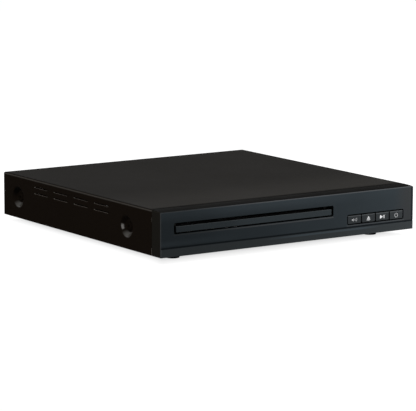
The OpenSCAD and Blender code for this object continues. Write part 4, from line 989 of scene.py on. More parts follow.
class Draft:
    """Vertices and faces of a piece while it is being made."""

    def __init__(self) -> None:
        """Starts an empty draft."""
        self.points: list[Vector] = []
        self.faces: list[tuple[int, ...]] = []

    def ring(self, points: Iterable[Sequence[float]]) -> list[int]:
        """Adds points.

        Args:
            points: the points.

        Returns:
            Their numbers.
        """
        start = len(self.points)
        self.points += [Vector(p) for p in points]
        return list(range(start, len(self.points)))

    def flat(self, points: Iterable[Point], depth: float, place: Place = upright) -> list[int]:
        """Adds flat points at one depth and returns their numbers."""
        return self.ring([place(a, b, depth) for a, b in points])

    def bridge(self, first: Sequence[int], second: Sequence[int], closed: bool = True) -> None:
        """Joins two rings of the same length with a band of quads.

        Args:
            first: numbers of one ring's points.
            second: numbers of the other's.
            closed: whether the last point is joined to the first.
        """
        count = len(first)
        for i in range(count if closed else count - 1):
            j = (i + 1) % count
            self.faces.append((first[i], first[j], second[j], second[i]))

    def fan(self, ring: Sequence[int]) -> None:
        """Closes a ring with one flat face."""
        self.faces.append(tuple(ring))

    def sheet(self, outer: Sequence[int], holes: Sequence[Sequence[int]] = ()) -> None:
        """Fills a flat outline with holes in it.

        Args:
            outer: numbers of the outline's points.
            holes: numbers of each hole's points.
        """
        loops = [outer, *holes]
        numbers = [i for loop in loops for i in loop]
        for tri in tessellate_polygon([[self.points[i] for i in loop] for loop in loops]):
            self.faces.append(tuple(numbers[k] for k in tri))

    def stack(self, rings: Sequence[Sequence[int]], caps: bool = True) -> None:
        """Joins a row of rings one after another.

        Args:
            rings: numbers of each ring's points.
            caps: whether both ends are closed.
        """
        for a, b in zip(rings, rings[1:]):
            self.bridge(a, b)
        if caps:
            self.fan(rings[0][::-1])
            self.fan(rings[-1])

    def lathe(self, profile: Sequence[Point], place: Place = upright,
              steps: int = 48) -> list[list[int]]:
        """Turns a profile of radius and height round an axis.

        Args:
            profile: pairs of radius and height.
            place: turns two flat coordinates and a height into a point.
            steps: number of pieces round the axis.

        Returns:
            The rings, or one point many times where the radius is 0.
        """
        rings = [self.flat(circle(radius, steps), height, place) if radius > 0.0
                 else self.ring([place(0, 0, height)]) * steps for radius, height in profile]
        for a, b in zip(rings, rings[1:]):
            for i in range(steps):
                j = (i + 1) % steps
                corners = list(dict.fromkeys((a[i], a[j], b[j], b[i])))
                if len(corners) > 2:
                    self.faces.append(tuple(corners))
        return rings

    def block(self, low: Sequence[float], high: Sequence[float]) -> None:
        """Adds a plain box between two corners."""
        corners = [(low[0], low[1]), (high[0], low[1]), (high[0], high[1]), (low[0], high[1])]
        self.stack([self.flat(corners, z) for z in (low[2], high[2])])

    def build(self, name: str, material: bpy.types.Material,
              sharp: float = 32.0) -> bpy.types.Object:
        """Makes the object, with its faces turned outwards.

        Args:
            name: name of the piece.
            material: its finish.
            sharp: angle in degrees above which an edge stays sharp.

        Returns:
            The object at the origin.
        """
        mesh = mesh_of(name, self.points, self.faces)
        with editing(mesh) as work:
            bmesh.ops.remove_doubles(work, verts=work.verts, dist=MERGE)
            bmesh.ops.dissolve_degenerate(work, edges=work.edges, dist=NO_LENGTH)
            bmesh.ops.recalc_face_normals(work, faces=work.faces)
        mesh.materials.append(material)
        smooth(mesh, sharp)
        return placed(name, mesh)


@dataclass(frozen=True)
class Rounded:
    """A rectangle with round corners and an eased edge, seen from the front or from a side."""

    middle: Point
    width: float
    height: float
    radius: float
    ease: float
    steps: int = 5
    least_radius: float = 0.15 * MM

    def loop(self, grow: float) -> list[Point]:
        """Outline of the rectangle, anticlockwise.

        Args:
            grow: how far the outline stands outside the rectangle.

        Returns:
            The points of the loop.
        """
        width, height = self.width + 2 * grow, self.height + 2 * grow
        most = min(width / 2 - MERGE, height / 2 - MERGE)
        radius = min(max(self.radius + grow, self.least_radius), most)
        points: list[Point] = []
        for turn, (sx, sy) in enumerate([(1, 1), (-1, 1), (-1, -1), (1, -1)]):
            middle = (self.middle[0] + sx * (width / 2 - radius),
                      self.middle[1] + sy * (height / 2 - radius))
            points += arc(middle, radius, 90 * turn, 90 * turn + 90, self.steps)
        return points

    def walls(self, draft: Draft, place: Place, shape: Sequence[Point], span: Point,
              plate: bool = False) -> list[list[int]]:
        """Adds the eased edge and the walls behind it.

        Args:
            draft: the draft that they go to.
            place: turns two flat coordinates and a depth into a point.
            shape: shares of the easing across and along the walls, from the front.
            span: depth of the front and of the back.
            plate: whether this is a closed plate instead of a window.

        Returns:
            The numbers of each loop's points.
        """
        way = -1 if plate else 1
        rows = [(way * across * self.ease, along * self.ease) for across, along in shape]
        rows.append((0.0, span[1] - span[0]))
        rings = [draft.flat(self.loop(grow), span[0] + depth, place) for grow, depth in rows]
        draft.stack(rings, caps=plate)
        return rings


def even_normals(piece: bpy.types.Object) -> bpy.types.Object:
    """Keeps large flat faces flat in shading where they meet small roundings.

    Args:
        piece: the object.

    Returns:
        The same object.
    """
    modifier = piece.modifiers.new("weights", "WEIGHTED_NORMAL")
    modifier.keep_sharp = True
    modifier.weight = FACE_WEIGHT
    result = evaluated(piece)
    piece.modifiers.clear()
    piece.data = result
    return piece


def softened_copy(node: str, material: bpy.types.Material, width: float) -> bpy.types.Object:
    """A copy of a node's mesh, merged, with its sharp edges rounded.

    Args:
        node: the node that is copied.
        material: the finish of the copy.
        width: width of the rounding in metres.

    Returns:
        The new piece at the origin.
    """
    mesh = frame["nodes"][node].data.copy()
    mesh.name = name = f"{node}_soft"
    mesh.materials.clear()
    mesh.materials.append(material)
    with editing(mesh) as work:
        bmesh.ops.remove_doubles(work, verts=work.verts, dist=COPY_MERGE)
        bmesh.ops.dissolve_limit(work, angle_limit=math.radians(FLAT_ANGLE), verts=work.verts,
                                 edges=work.edges)
    with editing(mesh) as work:
        limit = math.radians(EDGE_ANGLE)
        edges = [e for e in work.edges
                 if len(e.link_faces) == 2 and e.calc_face_angle(0.0) > limit]
        bmesh.ops.bevel(work, geom=edges, offset=width, segments=2, profile=0.5,
                        affect="EDGES", clamp_overlap=True)
    smooth(mesh, SHARP_ANGLE)
    return even_normals(placed(name, mesh))


def stand_for(piece: bpy.types.Object, body: str, slot: str, *nodes: str) -> None:
    """Lets a piece ride on a body and hides what it stands for.

    Args:
        piece: the object.
        body: the body that it moves with.
        slot: the slot of its finish; not used.
        *nodes: the nodes that it replaces.
    """
    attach(piece, body)
    if nodes:
        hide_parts(*nodes)
    LOG.info("%s rides on %s", piece.name, body)


class Scatter:
    """A Geometry Nodes tree that puts one small mesh on every point of another."""

    def __init__(self, name: str, material: bpy.types.Material) -> None:
        """Builds the tree with named inputs for the points, the mesh and its turn.

        Args:
            name: name of the tree.
            material: finish of the copies.
        """
        self.tree = bpy.data.node_groups.new(name, "GeometryNodeTree")
        for socket, way, kind in (("Points", "INPUT", "Geometry"), ("Part", "INPUT", "Object"),
                                  ("Scale", "INPUT", "Float"), ("Turn", "INPUT", "Vector"),
                                  ("Geometry", "OUTPUT", "Geometry")):
            self.tree.interface.new_socket(socket, in_out=way, socket_type=f"NodeSocket{kind}")
        add = Nodes(self.tree).add
        given = add("NodeGroupInput").outputs
        part = add("GeometryNodeObjectInfo", None, {"Object": given["Part"]}).outputs["Geometry"]
        put = add("GeometryNodeInstanceOnPoints", None,
                  {"Points": given["Points"], "Instance": part, "Rotation": given["Turn"],
                   "Scale": given["Scale"]})
        real = add("GeometryNodeRealizeInstances", None, {0: put.outputs[0]})
        paint = add("GeometryNodeSetMaterial", None,
                    {"Geometry": real.outputs[0], "Material": material})
        add("NodeGroupOutput", None, {"Geometry": paint.outputs[0]})

    def put(self, name: str, part: Draft, places: Sequence[Sequence[float]],
            turn: Sequence[float] = (0, 0, 0)) -> bpy.types.Object:
        """Puts the part on the places and returns the joined piece.

        Args:
            name: name of the piece.
            part: the small mesh around its own origin.
            places: points in the frame.
            turn: turn of each copy in radians.

        Returns:
            The object at the origin, without a modifier.
        """
        seed = part.build(f"{name}_seed", bpy.data.materials[0])
        carrier = placed(f"{name}_points", mesh_of(f"{name}_points", places, []))
        modifier = carrier.modifiers.new("scatter", "NODES")
        modifier.node_group = self.tree
        values = {"Part": seed, "Scale": 1.0, "Turn": tuple(turn)}
        for item in self.tree.interface.items_tree:
            if item.in_out == "INPUT" and item.name in values:
                modifier[item.identifier] = values[item.name]
        bpy.context.view_layer.update()
        made = placed(name, evaluated(carrier))
        for spare in (carrier, seed):
            bpy.data.objects.remove(spare)
        return made


def screw_head(radius: float, height: float) -> Draft:
    """A domed head with a cross recess, its seat on z = 0.

    Args:
        radius: radius of the head.
        height: height of the dome.

    Returns:
        The head as a draft.
    """
    draft = Draft()
    long, wide, crown = radius * 0.52, radius * 0.15, radius * 0.66
    floor, taper = height * 0.25, 0.8
    dome = [(1.0, 0.0), (1.0, 0.3), (0.93, 0.62), (0.78, 0.86)]
    rings = [draft.flat(circle(radius * r), height * h) for r, h in dome]
    draft.stack(rings, caps=False)
    draft.fan(rings[0][::-1])
    cross, arm = [], [(wide, wide), (wide, long), (-wide, long)]
    for _ in range(4):
        cross += arm
        arm = [(-y, x) for x, y in arm]
    top = draft.flat(cross, height)
    low = draft.flat([(x * taper, y * taper) for x, y in cross], floor)
    rim = draft.flat(circle(crown), height)
    draft.bridge(rings[-1], rim)
    draft.sheet(rim, [top])
    draft.bridge(top, low)
    draft.fan(low)
    return draft


# ---------------------------------------------------------------- outer pieces


@dataclass
class Case:
    """Sizes that the outer pieces share, in metres."""

    half_width: float = HALF_WIDTH
    floor_gap: float = 5.0 * MM
    top: float = HEIGHT
    front: float = field(default_factory=lambda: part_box("tray_door")[0].y)
    loader_x: float = -31.7 * MM
    keys_middle: Point = mm(77.2, 17.05)
    dimple_places: Point = mm(46.0, 203.3)
    dimple_height: float = DIMPLE_HEIGHT
    dimple_depth: float = 3.4 * MM

    def y(self, depth: float) -> float:
        """The frame's y of a depth behind the front face."""
        return self.front + depth

    def front_place(self, middle: Point = (0.0, 0.0)) -> Place:
        """Turns flat coordinates round a middle of the front and a depth into a point."""
        return lambda a, b, depth: (middle[0] + a, self.y(depth), middle[1] + b)

    def side_place(self, side: int, middle: Point = (0.0, 0.0)) -> Place:
        """Turns flat coordinates round a middle of a side and a depth into a point."""
        return lambda a, b, depth: (side * (self.half_width - depth), self.y(middle[0]) + a,
                                    middle[1] + b)


@dataclass
class SubAssembly:
    """A group of pieces on the case and the finishes that they take."""

    case: Case
    finishes: Finishes


@dataclass
class TopCover(SubAssembly):
    """Folded steel cover with pressed dimples and rows of vents."""

    span: Point = mm(12.35, 225.0)
    sheet: float = 0.8 * MM
    bend: float = 1.2 * MM
    rim: float = 8.25 * MM
    rim_ease: float = 0.75 * MM
    rim_inside: float = 0.6
    dimple_floor: float = 4.3 * MM
    dimple_steps: int = 14
    screw_hole: float = 1.6 * MM
    vent_length: float = 19.6 * MM
    vent_height: float = 0.75 * MM
    vent_lip: float = 0.36 * MM
    vent_edge: tuple[Point, ...] = ((1, 0), (0.3, 0.3), (0, 1))
    vent_start: float = 71.0 * MM
    vent_pitch: float = 29.1 * MM
    vent_low: float = 27.15 * MM
    vent_row: float = 4.7 * MM
    vent_groups: int = 4

    def vents(self) -> list[Rounded]:
        """Every vent of a side.

        Returns:
            The vents, with depth and height as their middles.
        """
        long, high = self.vent_length, self.vent_height
        return [Rounded((self.vent_start + group * self.vent_pitch + long / 2,
                         self.vent_low + row * self.vent_row + high / 2),
                        long, high, high / 2 - 0.05 * MM, self.vent_lip)
                for group in range(self.vent_groups) for row in (0, 1)]

    def bowl(self, skin: float) -> list[Point]:
        """Radius and depth along a dimple's wall.

        Args:
            skin: 0 for the outer skin, the sheet's thickness for the inner one.

        Returns:
            The profile from the rim to the screw's hole.
        """
        rim = self.rim + self.rim_ease + skin * self.rim_inside
        points = []
        for t in (i / self.dimple_steps for i in range(self.dimple_steps + 1)):
            share = t * t * (3 - 2 * t)
            points.append((rim + (self.dimple_floor - rim) * t,
                           self.case.dimple_depth * share + skin))
        return points + [(self.screw_hole, self.case.dimple_depth + skin)]

    def side(self, draft: Draft, side: int) -> None:
        """Adds one upright side with its dimples and vents.

        Args:
            draft: the cover's draft.
            side: -1 for the left side, 1 for the right.
        """
        c, vents = self.case, self.vents()
        place = c.side_place(side)
        dimples = [c.side_place(side, (depth, c.dimple_height)) for depth in c.dimple_places]
        (start, end), seat = self.span, c.top - self.bend
        corners = [(start, c.floor_gap), (end, c.floor_gap), (end, seat), (start, seat)]
        for skin, lip in ((0.0, self.vent_lip), (self.sheet, 0.0)):
            outline = draft.flat(corners, skin, place)
            rim = circle(self.bowl(skin)[0][0])
            holes = [draft.flat(rim, skin, put) for put in dimples]
            holes += [draft.flat(vent.loop(lip), skin, place) for vent in vents]
            draft.sheet(outline, holes)
        for vent in vents:
            vent.walls(draft, place, self.vent_edge, (0.0, self.sheet))
        for put in dimples:
            outer, inner = (draft.lathe(self.bowl(skin), put) for skin in (0.0, self.sheet))
            draft.bridge(outer[-1], inner[-1])

    def make(self) -> None:
        """Builds the cover."""
        c, draft, place = self.case, Draft(), self.case.front_place()
        for side in (-1, 1):
            self.side(draft, side)
        skins, feet = [], []
        for skin in (0.0, self.sheet):
            over = [point for side, turn in ((-1, 180), (1, 90)) for point in
                    arc((side * (c.half_width - self.bend), c.top - self.bend), self.bend - skin,
                        turn, turn - 90, 6)]
            draft.bridge(*(draft.flat(over, depth, place) for depth in self.span), closed=False)
            wide = c.half_width - skin
            full = [(-wide, c.floor_gap), *over, (wide, c.floor_gap)]
            skins.append([draft.flat(full, depth, place) for depth in self.span])
            feet.append([draft.ring([place(x, c.floor_gap, depth) for depth in self.span])
                         for x in (-wide, wide)])
        for outer, inner in (*zip(*skins), *zip(*feet)):
            draft.bridge(outer, inner, closed=False)
        piece = even_normals(draft.build("cover_shell", self.finishes["cover_paint"], sharp=40.0))
        stand_for(piece, "chassis", "cover_paint", "top_cover")


@dataclass
class Bezel(SubAssembly):
    """Moulded front with a raised strip, a groove, the tray's slot and the keys' window."""

    depth: float = 12.0 * MM
    wall: float = 2.4 * MM
    side_wall: float = 2.0 * MM
    proud: float = 0.4 * MM
    strip: float = 6.1 * MM
    strip_round: float = 0.2 * MM
    low_round: float = 0.4 * MM
    groove: float = 0.8 * MM
    groove_depth: float = 0.4 * MM
    groove_ease: float = 0.15 * MM
    drop: float = 0.8 * MM
    edge: float = 0.8 * MM
    corner: float = 1.2 * MM
    bow_steps: int = 8
    edge_turns: tuple[float, ...] = (25, 42, 58, 74, 90)
    corner_turns: tuple[float, ...] = (0, 15, 30)
    pocket_top: float = 35.4 * MM
    slot: Rounded = Rounded(mm(-31.7, 25.125), 139.4 * MM, 7.55 * MM, 1.0 * MM, 0.4 * MM, 6)
    window: Rounded = Rounded(mm(77.2, 17.05), 52.0 * MM, 7.2 * MM, 1.2 * MM, 0.5 * MM, 6)
    lip: tuple[Point, ...] = ((1, 0), (0.62, 0.08), (0.29, 0.29), (0.08, 0.62), (0, 1))

    def section(self) -> tuple[list[Point], int]:
        """Outline of the side view from the rear of the underside to the rear of the top.

        Returns:
            The points, and the number of the one where the flat face starts.
        """
        low, top, edge = self.case.floor_gap, self.case.top, self.edge
        ledge = low + self.strip
        turn, small = self.low_round, self.strip_round
        points = [(self.depth, low)]
        points += arc((turn - self.proud, low + turn), turn, 270, 180, 4)
        points += arc((small - self.proud, ledge - small), small, 180, 90, 3)
        points += [(self.groove_depth, ledge), (self.groove_depth, ledge + self.groove),
                   (0.0, ledge + self.groove + self.groove_ease)]
        start = len(points) - 1
        points += arc((edge, top - self.drop - edge * 0.9), edge, 180, 100, 5)
        bow = (self.depth ** 2 + self.drop ** 2) / 2 / self.drop
        for i in range(1, self.bow_steps + 1):
            y = edge + (self.depth - edge) * i / self.bow_steps
            points.append((y, top - bow + math.sqrt(bow ** 2 - (self.depth - y) ** 2)))
        return points, start

    def rounded(self, x: float, radius: float) -> float:
        """How far a round edge of the case reaches at this x, from its own centre."""
        beside = max(0.0, abs(x) - (self.case.half_width - radius))
        return math.sqrt(max(0.0, radius ** 2 - beside ** 2))

    def make(self) -> None:
        """Builds the bezel."""
        c, draft, place = self.case, Draft(), self.case.front_place()
        points, start = self.section()
        turns = [(self.corner, a) for a in self.corner_turns]
        turns += [(self.edge, a) for a in self.edge_turns]
        bend = sorted(c.half_width - r + r * math.sin(math.radians(a)) for r, a in turns)
        rings = []
        for x in [-x for x in reversed(bend)] + bend:
            back = self.edge - self.proud - self.rounded(x, self.edge)
            roof = c.top - self.corner + self.rounded(x, self.corner)
            rings.append(draft.ring([(x, c.y(max(y, back)), min(z, roof)) for y, z in points]))
        main = len(bend) - 1
        for n, (a, b) in enumerate(zip(rings, rings[1:])):
            for i in range(len(points) - 1):
                if (n, i) != (main, start):
                    draft.faces.append((a[i], a[i + 1], b[i + 1], b[i]))
        left, right = rings[main], rings[main + 1]
        lips = [opening.walls(draft, place, self.lip, (0.0, self.wall))
                for opening in (self.slot, self.window)]
        face = [left[start], right[start], right[start + 1], left[start + 1]]
        draft.sheet(face, [lip[0] for lip in lips])
        for ring in (rings[0], rings[-1]):
            draft.sheet(ring)
        wide = c.half_width - self.side_wall
        low, high = c.floor_gap + self.side_wall, self.pocket_top
        corners = [(-wide, low), (wide, low), (wide, high), (-wide, high)]
        pocket = [draft.flat(corners, depth, place) for depth in (self.wall, self.depth)]
        draft.bridge(*pocket)
        draft.sheet(pocket[0], [lip[-1] for lip in lips])
        rear = [ring[0] for ring in rings] + [ring[-1] for ring in reversed(rings)]
        draft.sheet(rear, [pocket[1]])
        piece = even_normals(draft.build("front_shell", self.finishes["bezel_plastic"], sharp=50.0))
        stand_for(piece, "chassis", "bezel_plastic", "front_bezel")


@dataclass
class TrayDoor(SubAssembly):
    """Moulded strip that closes the slot."""

    width: float = 136.4 * MM
    height: float = 4.5 * MM
    middle_z: float = 24.3 * MM
    radius: float = 0.7 * MM
    ease: float = 0.4 * MM
    thickness: float = 3.0 * MM

    def make(self) -> None:
        """Builds the door."""
        draft = Draft()
        middle = (self.case.loader_x, self.middle_z)
        panel = Rounded(middle, self.width, self.height, self.radius, self.ease)
        place, span = self.case.front_place(), (0.0, self.thickness)
        panel.walls(draft, place, PLATE_EDGE, span, plate=True)
        piece = even_normals(draft.build("door_panel", self.finishes["door_plastic"], sharp=50.0))
        stand_for(piece, "tray", "door_plastic", "tray_door")


@dataclass
class Keys(SubAssembly):
    """Row of four keys with printed signs."""

    pitch: float = 13.0 * MM
    gap: float = 0.4 * MM
    height: float = 7.2 * MM
    radius: float = 0.7 * MM
    ease: float = 0.3 * MM
    face: float = 0.15 * MM
    flange: Point = mm(2.6, 3.4)
    flange_half: float = 4.3 * MM
    stem_end: float = 4.6 * MM
    stem_radius: float = 1.5 * MM
    sign_scale: float = 0.76
    sign_drop: float = 0.35 * MM
    ink: float = 0.025 * MM

    def strokes(self, sign: Sign) -> list[list[Point]]:
        """Closed outlines of a sign.

        Args:
            sign: the sign.

        Returns:
            The outlines around the sign's own middle, in millimetres.
        """
        if sign is Sign.EJECT:
            return [[(-2.1, -0.6), (2.1, -0.6), (0.0, 2.4)],
                    [(-2.1, -2.0), (2.1, -2.0), (2.1, -1.15), (-2.1, -1.15)]]
        if sign is Sign.PLAY:
            bars = [[(x, -1.6), (x + 0.42, -1.6), (x + 0.42, 1.6), (x, 1.6)] for x in (1.2, 2.3)]
            return [[(-2.8, -1.8), (0.5, 0.0), (-2.8, 1.8)]] + bars
        if sign is Sign.POWER:
            ring = arc((0, -0.1), 2.1, 118, 422, 22) + arc((0, -0.1), 1.66, 422, 118, 22)
            return [ring, [(-0.22, 0.6), (0.22, 0.6), (0.22, 2.4), (-0.22, 2.4)]]
        horn = [(-3.1, -0.6), (-2.2, -0.6), (-0.9, -1.5), (-0.9, 1.5), (-2.2, 0.6), (-3.1, 0.6)]
        waves = [arc((-0.9, 0), r, -28, 28, 8) + arc((-0.9, 0), r - 0.45, 28, -28, 8)
                 for r in (1.5, 2.75, 4.0)]
        return [horn] + waves

    def cap(self, middle: Point) -> Draft:
        """A key with its flange and its stem.

        Args:
            middle: x and z of the key.

        Returns:
            The key as a draft.
        """
        c, draft, (front, back) = self.case, Draft(), self.flange
        (x, z), width = middle, self.pitch - 2 * self.gap
        half = width / 2
        panel = Rounded(middle, width, self.height - 2 * self.gap, self.radius, self.ease)
        panel.walls(draft, c.front_place(), PLATE_EDGE, (self.face, front), plate=True)
        draft.block((x - half, c.y(front), z - self.flange_half),
                    (x + half, c.y(back), z + self.flange_half))
        stem = [(self.stem_radius, depth) for depth in (back, self.stem_end)]
        rings = draft.lathe(stem, c.front_place(middle), 24)
        draft.fan(rings[-1])
        draft.fan(rings[0][::-1])
        return draft

    def mark(self, sign: Sign, middle: Point) -> Draft:
        """The film of ink that prints a sign.

        Args:
            sign: the sign.
            middle: x and z of its key.

        Returns:
            The film as a draft.
        """
        draft = Draft()
        place = self.case.front_place((middle[0], middle[1] - self.sign_drop))
        for outline in self.strokes(sign):
            points = [(x * self.sign_scale * MM, z * self.sign_scale * MM) for x, z in outline]
            rings = [draft.flat(points, self.face + ink, place) for ink in (-self.ink, self.ink)]
            draft.bridge(*rings)
            for ring in rings:
                draft.sheet(ring)
        return draft

    def make(self) -> None:
        """Builds every key and its sign."""
        inks = {Sign.EJECT: "print_ink", Sign.PLAY: "bright_ink"}
        for number, sign in enumerate(Sign):
            x, z = self.case.keys_middle
            middle, body = (x + (number - 1.5) * self.pitch, z), f"{sign.value}_key"
            cap = self.cap(middle)
            cap = cap.build(f"{sign.value}_cap", self.finishes["key_plastic"], sharp=50.0)
            stand_for(even_normals(cap), body, "key_plastic", body)
            ink = self.finishes[inks.get(sign, "faint_ink")]
            mark = self.mark(sign, middle).build(f"{sign.value}_sign", ink, sharp=30.0)
            stand_for(mark, body, "key_plastic")


@dataclass
class Fixings(SubAssembly):
    """Feet and screws, each kind put in place by its own tree."""

    foot_radius: float = 5.0 * MM
    foot_round: float = 0.25 * MM
    foot_recess: Point = mm(0.25, 0.7)
    foot_x: float = 88.5 * MM
    foot_depths: Point = mm(22.0, 203.0)
    head: Point = mm(3.3, 1.5)
    rear_head: Point = mm(2.4, 1.1)
    rear_face: float = 224.4 * MM
    rear_screws: Point = mm(-50.2, 6.8)
    rear_height: float = 20.6 * MM

    def foot(self) -> Draft:
        """One moulded foot with a recess in its underside.

        Returns:
            The foot as a draft.
        """
        r, top, rim = self.foot_radius, self.case.floor_gap, self.foot_round
        step, deep = self.foot_recess
        profile = [(0.0, deep), (r * 0.42, deep), (r * 0.5, step), (r * 0.58, 0.0)]
        profile += [(r - rim + x, rim + z) for x, z in arc((0, 0), rim, -90, 0, 5)]
        draft = Draft()
        draft.lathe(profile + [(r, top * 0.75), (r * 0.94, top), (0.0, top)])
        return draft

    def make(self) -> None:
        """Builds the feet and the screws."""
        c = self.case
        places = [(s * self.foot_x, c.y(d), 0.0) for s in (-1, 1) for d in self.foot_depths]
        feet = Scatter("feet_tree", self.finishes["foot_rubber"])
        stand_for(feet.put("rubber_feet", self.foot(), places), "chassis", "foot_rubber", "feet")
        tree = Scatter("screw_tree", self.finishes["black_screws"])
        for side, word in ((-1, "left"), (1, "right")):
            places = [(side * (c.half_width - c.dimple_depth), c.y(d), c.dimple_height)
                      for d in c.dimple_places]
            screws = tree.put(f"{word}_cover_screws", screw_head(*self.head), places,
                              (0, side * math.pi / 2, 0))
            stand_for(screws, "chassis", "black_screws", "case_screws")
        places = [(x, c.y(self.rear_face), self.rear_height) for x in self.rear_screws]
        rear = tree.put("rear_panel_screws", screw_head(*self.rear_head), places, TO_REAR)
        stand_for(rear, "chassis", "black_screws")


@dataclass
class RearSockets(SubAssembly):
    """Colour-coded phono jacks and the metal contacts of the other sockets."""

    jacks: tuple[tuple[float, str], ...] = ((-89.7 * MM, "white"), (-75.7 * MM, "red"),
                                            (-59.7 * MM, "orange"))
    height: float = 18.6 * MM
    start: float = 223.6 * MM
    end: float = 233.0 * MM
    shell: float = 4.15 * MM
    wall: float = 0.55 * MM
    shell_start: float = 0.4 * MM
    inner_ease: Point = mm(0.15, 0.2)
    outer_ease: Point = mm(0.25, 0.3)
    collar: float = 4.45 * MM
    collar_end: float = 224.7 * MM
    bore: float = 1.6 * MM
    bore_ease: float = 0.3 * MM
    core_back: float = 1.0 * MM
    housing: tuple[float, ...] = mm(5.5, 11.0, 6.0)
    board_top: float = 11.6 * MM
    pin: tuple[Point, ...] = (mm(0.0, 0.0), mm(1.2, 0.0), mm(1.2, 8.4), mm(0.9, 8.9),
                              mm(0.0, 9.1))
    pin_x: Point = mm(-4.3, 4.3)
    pin_place: Point = mm(213.7, 18.1)
    contact: tuple[float, ...] = mm(0.65, 0.25, 5.4)
    contacts: int = 10
    contact_pitch: float = 3.8 * MM
    first_contact: float = -16.2 * MM
    contact_place: Point = mm(219.4, 20.8)

    def jack(self, x: float, colour: str) -> None:
        """Builds one jack.

        Args:
            x: sideways place.
            colour: name of its colour.
        """
        c, shell, core, place = self.case, Draft(), Draft(), self.case.front_place((x, self.height))
        inner, outer, start, end = self.shell - self.wall, self.shell, self.start, self.end
        (in_x, in_y), (out_x, out_y) = self.inner_ease, self.outer_ease
        shell.lathe([(inner, start + self.shell_start), (inner, end - in_y), (inner + in_x, end),
                     (outer - out_x, end), (outer, end - out_y), (outer, self.collar_end),
                     (self.collar, self.collar_end), (self.collar, start),
                     (inner, start + self.shell_start)], place)
        seat = end - self.core_back
        core.lathe([(self.bore, start), (self.bore, seat - self.bore_ease),
                    (self.bore + self.bore_ease, seat), (inner, seat), (inner, start),
                    (self.bore, start)], place)
        half, length, above = self.housing
        core.block((x - half, c.y(start - length), self.board_top),
                   (x + half, c.y(start), self.height + above))
        made = shell.build(f"{colour}_jack_shell", self.finishes["jack_metal"], sharp=40.0)
        stand_for(even_normals(made), "chassis", "jack_metal", "phono_jacks")
        made = core.build(f"{colour}_jack_core", self.finishes[f"jack_{colour}"], sharp=40.0)
        stand_for(even_normals(made), "chassis", "jack_metal")

    def make(self) -> None:
        """Builds the jacks, the inlet's pins and the television socket's contacts."""
        for x, colour in self.jacks:
            self.jack(x, colour)
        tree = Scatter("pin_tree", self.finishes["shaft_steel"])
        pin, strip, (wide, thick, tall) = Draft(), Draft(), self.contact
        pin.lathe(self.pin, steps=24)
        strip.block((-wide, -thick, 0.0), (wide, thick, tall))
        row = [self.first_contact + i * self.contact_pitch for i in range(self.contacts)]
        for name, slot, part, node, across, (depth, height) in (
                ("inlet_pins", "jack_metal", pin, "mains_inlet", self.pin_x, self.pin_place),
                ("socket_contacts", "socket_metal", strip, "scart_socket", row,
                 self.contact_place)):
            low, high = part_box(node)
            places = [((low.x + high.x) / 2 + x, self.case.y(depth), height) for x in across]
            stand_for(tree.put(name, part, places, TO_REAR), "chassis", slot)


@dataclass
class Inside:
    """Dresses the nodes that keep their own shape, some with rounded edges."""

    softened: tuple[tuple[str, str, float], ...] = (
        ("disc_tray", "tray", 0.25 * MM),
        ("rear_panel", "chassis", 0.12 * MM),
        ("clamp_bridge", "chassis", 0.15 * MM),
        ("scart_socket", "chassis", 0.18 * MM),
        ("hdmi_socket", "chassis", 0.1 * MM),
        ("mains_inlet", "chassis", 0.18 * MM),
        ("turntable", "turntable", 0.15 * MM),
        ("disc_clamper", "clamper", 0.2 * MM),
    )

    def make(self, finishes: Finishes) -> None:
        """Gives every node that is still shown its finish.

        Args:
            finishes: the materials.
        """
        slots = {s["node"]: s["material_slot"] for s in frame["record"]["subparts"]}
        for node, body, width in self.softened:
            piece = softened_copy(node, finishes[slots[node]], width)
            stand_for(piece, body, slots[node], node)
        for node, item in frame["nodes"].items():
            item.data.materials.clear()
            item.data.materials.append(finishes[slots[node]])
            LOG.info("%s is dressed in %s", node, slots[node])


# ---------------------------------------------------------------- studio


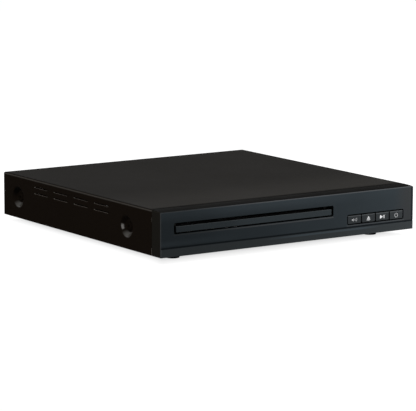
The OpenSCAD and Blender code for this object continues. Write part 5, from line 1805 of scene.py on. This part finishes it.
@dataclass
class Studio:
    """Pale floor, white surroundings, soft lamps and the camera."""

    lens: float = 219.93
    sensor: float = 36.0
    azimuth: float = -33.779
    elevation: float = 9.408
    roll: float = 0.130
    eye: tuple[float, float, float] = (-1.062854, -1.596407, 0.334297)
    clip: Point = (0.05, 30.0)
    floor_size: float = 12.0
    near: Point = (0.03, 0.30)
    # Fade and share of the painted shadow under the object.
    under_edge: Point = mm(-45.0, 0.0)
    side_reach: float = 1.5
    near_glow: float = 0.92
    under_glow: float = 0.33
    near_white: Colour = (0.24, 0.24, 0.24)
    far_white: Colour = (0.02, 0.02, 0.02)
    ambient: float = 0.30
    lamps: tuple[tuple[Any, ...], ...] = (
        ("overhead", (0.0, 0.05, 1.3), (0, 0, 0), 1.3, 15.0),
        ("front_right", (0.19, -0.25, 0.07), (0.08, -0.11, 0.02), 0.08, 0.27),
        ("front_left", (-0.9, -0.9, 0.5), (0, 0, 0), 0.6, 4.0),
    )

    def floor(self) -> None:
        """A white floor that keeps the shadow near the object, with a painted shadow under it: the
        glow drops inside the object's footprint.
        """
        s = Shader("floor_white")
        x, y, _ = s.axes()
        away, high = x * x + y * y, CAD_BOX[1]
        beyond = ((x.size() - high[0]) * self.side_reach).largest(y.size() - high[1])
        bright = away.ramp(*self.near, self.near_glow, 1.0)
        # Painted shadow: the glow falls inside the object's footprint.
        glow = s.seen() * (bright * beyond.ramp(*self.under_edge, self.under_glow, 1.0))
        changing = {
            "Base Color": s.blend(away.ramp(*self.near), self.near_white, self.far_white),
            "Emission Color": s.node("ShaderNodeCombineColor", None, {0: glow, 1: glow, 2: glow}),
        }
        fixed = {"Roughness": 1.0, "Specular IOR Level": 0.0, "Emission Strength": 1.0}
        half = self.floor_size / 2
        corners = [(-half, -half, 0), (half, -half, 0), (half, half, 0), (-half, half, 0)]
        mesh = mesh_of("studio_floor", corners, [(0, 1, 2, 3)])
        mesh.materials.append(s.finish(changing, fixed))
        placed("studio_floor", mesh)

    def surroundings(self) -> None:
        """White world for the rays that show it, and a weak fill for the others."""
        world = bpy.data.worlds.new("studio_world")
        bpy.context.scene.world = world
        s = Shader(world)
        strength = s.node("ShaderNodeMapRange", None, {"Value": s.seen(), "To Min": self.ambient})
        ground = s.node("ShaderNodeBackground", None, {"Color": (1, 1, 1), "Strength": strength})
        s.add("ShaderNodeOutputWorld", None, {"Surface": ground})

    def lamp(self, name: str, place: Sequence[float], aim: Sequence[float], size: float,
             power: float) -> None:
        """Adds a soft square lamp.

        Args:
            name: its name.
            place: where it stands.
            aim: the point that it faces.
            size: length of its side.
            power: its power in watts.
        """
        data = bpy.data.lights.new(name, "AREA")
        data.shape = "SQUARE"
        data.size = size
        data.energy = power
        lamp = placed(name, data)
        lamp.location = place
        lamp.visible_camera = False
        lamp.rotation_euler = (Vector(aim) - Vector(place)).to_track_quat("-Z", "Y").to_euler()

    def camera(self) -> None:
        """Puts the camera at the viewing angle."""
        az, el, roll = (math.radians(v) for v in (self.azimuth, self.elevation, self.roll))
        back = Vector((math.sin(az) * math.cos(el), -math.cos(az) * math.cos(el), math.sin(el)))
        right = (-back).cross(Vector((0, 0, 1))).normalized()
        up = right.cross(-back)
        turned = right * math.cos(roll) + up * math.sin(roll)
        raised = up * math.cos(roll) - right * math.sin(roll)
        data = bpy.data.cameras.new("camera")
        data.lens, data.sensor_width = self.lens, self.sensor
        data.clip_start, data.clip_end = self.clip
        camera = placed("camera", data)
        axes = Matrix((turned, raised, back)).transposed().to_4x4()
        camera.matrix_world = Matrix.Translation(self.eye) @ axes
        bpy.context.scene.camera = camera

    def make(self) -> None:
        """Builds the studio."""
        self.camera()
        self.floor()
        self.surroundings()
        for lamp in self.lamps:
            self.lamp(*lamp)
        bpy.context.scene.view_settings.view_transform = "Standard"


def main() -> None:
    """Builds the studio and every piece in order."""
    logging.basicConfig(level=logging.INFO, format="%(name)s: %(message)s")
    Studio().make()
    case, finishes = Case(), Finishes()
    for kind in (TopCover, Bezel, TrayDoor, Keys, Fixings, RearSockets):
        kind(case, finishes).make()
        LOG.info("%s is made", kind.__name__)
    Inside().make(finishes)
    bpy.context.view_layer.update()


if __name__ == "__main__":
    main()
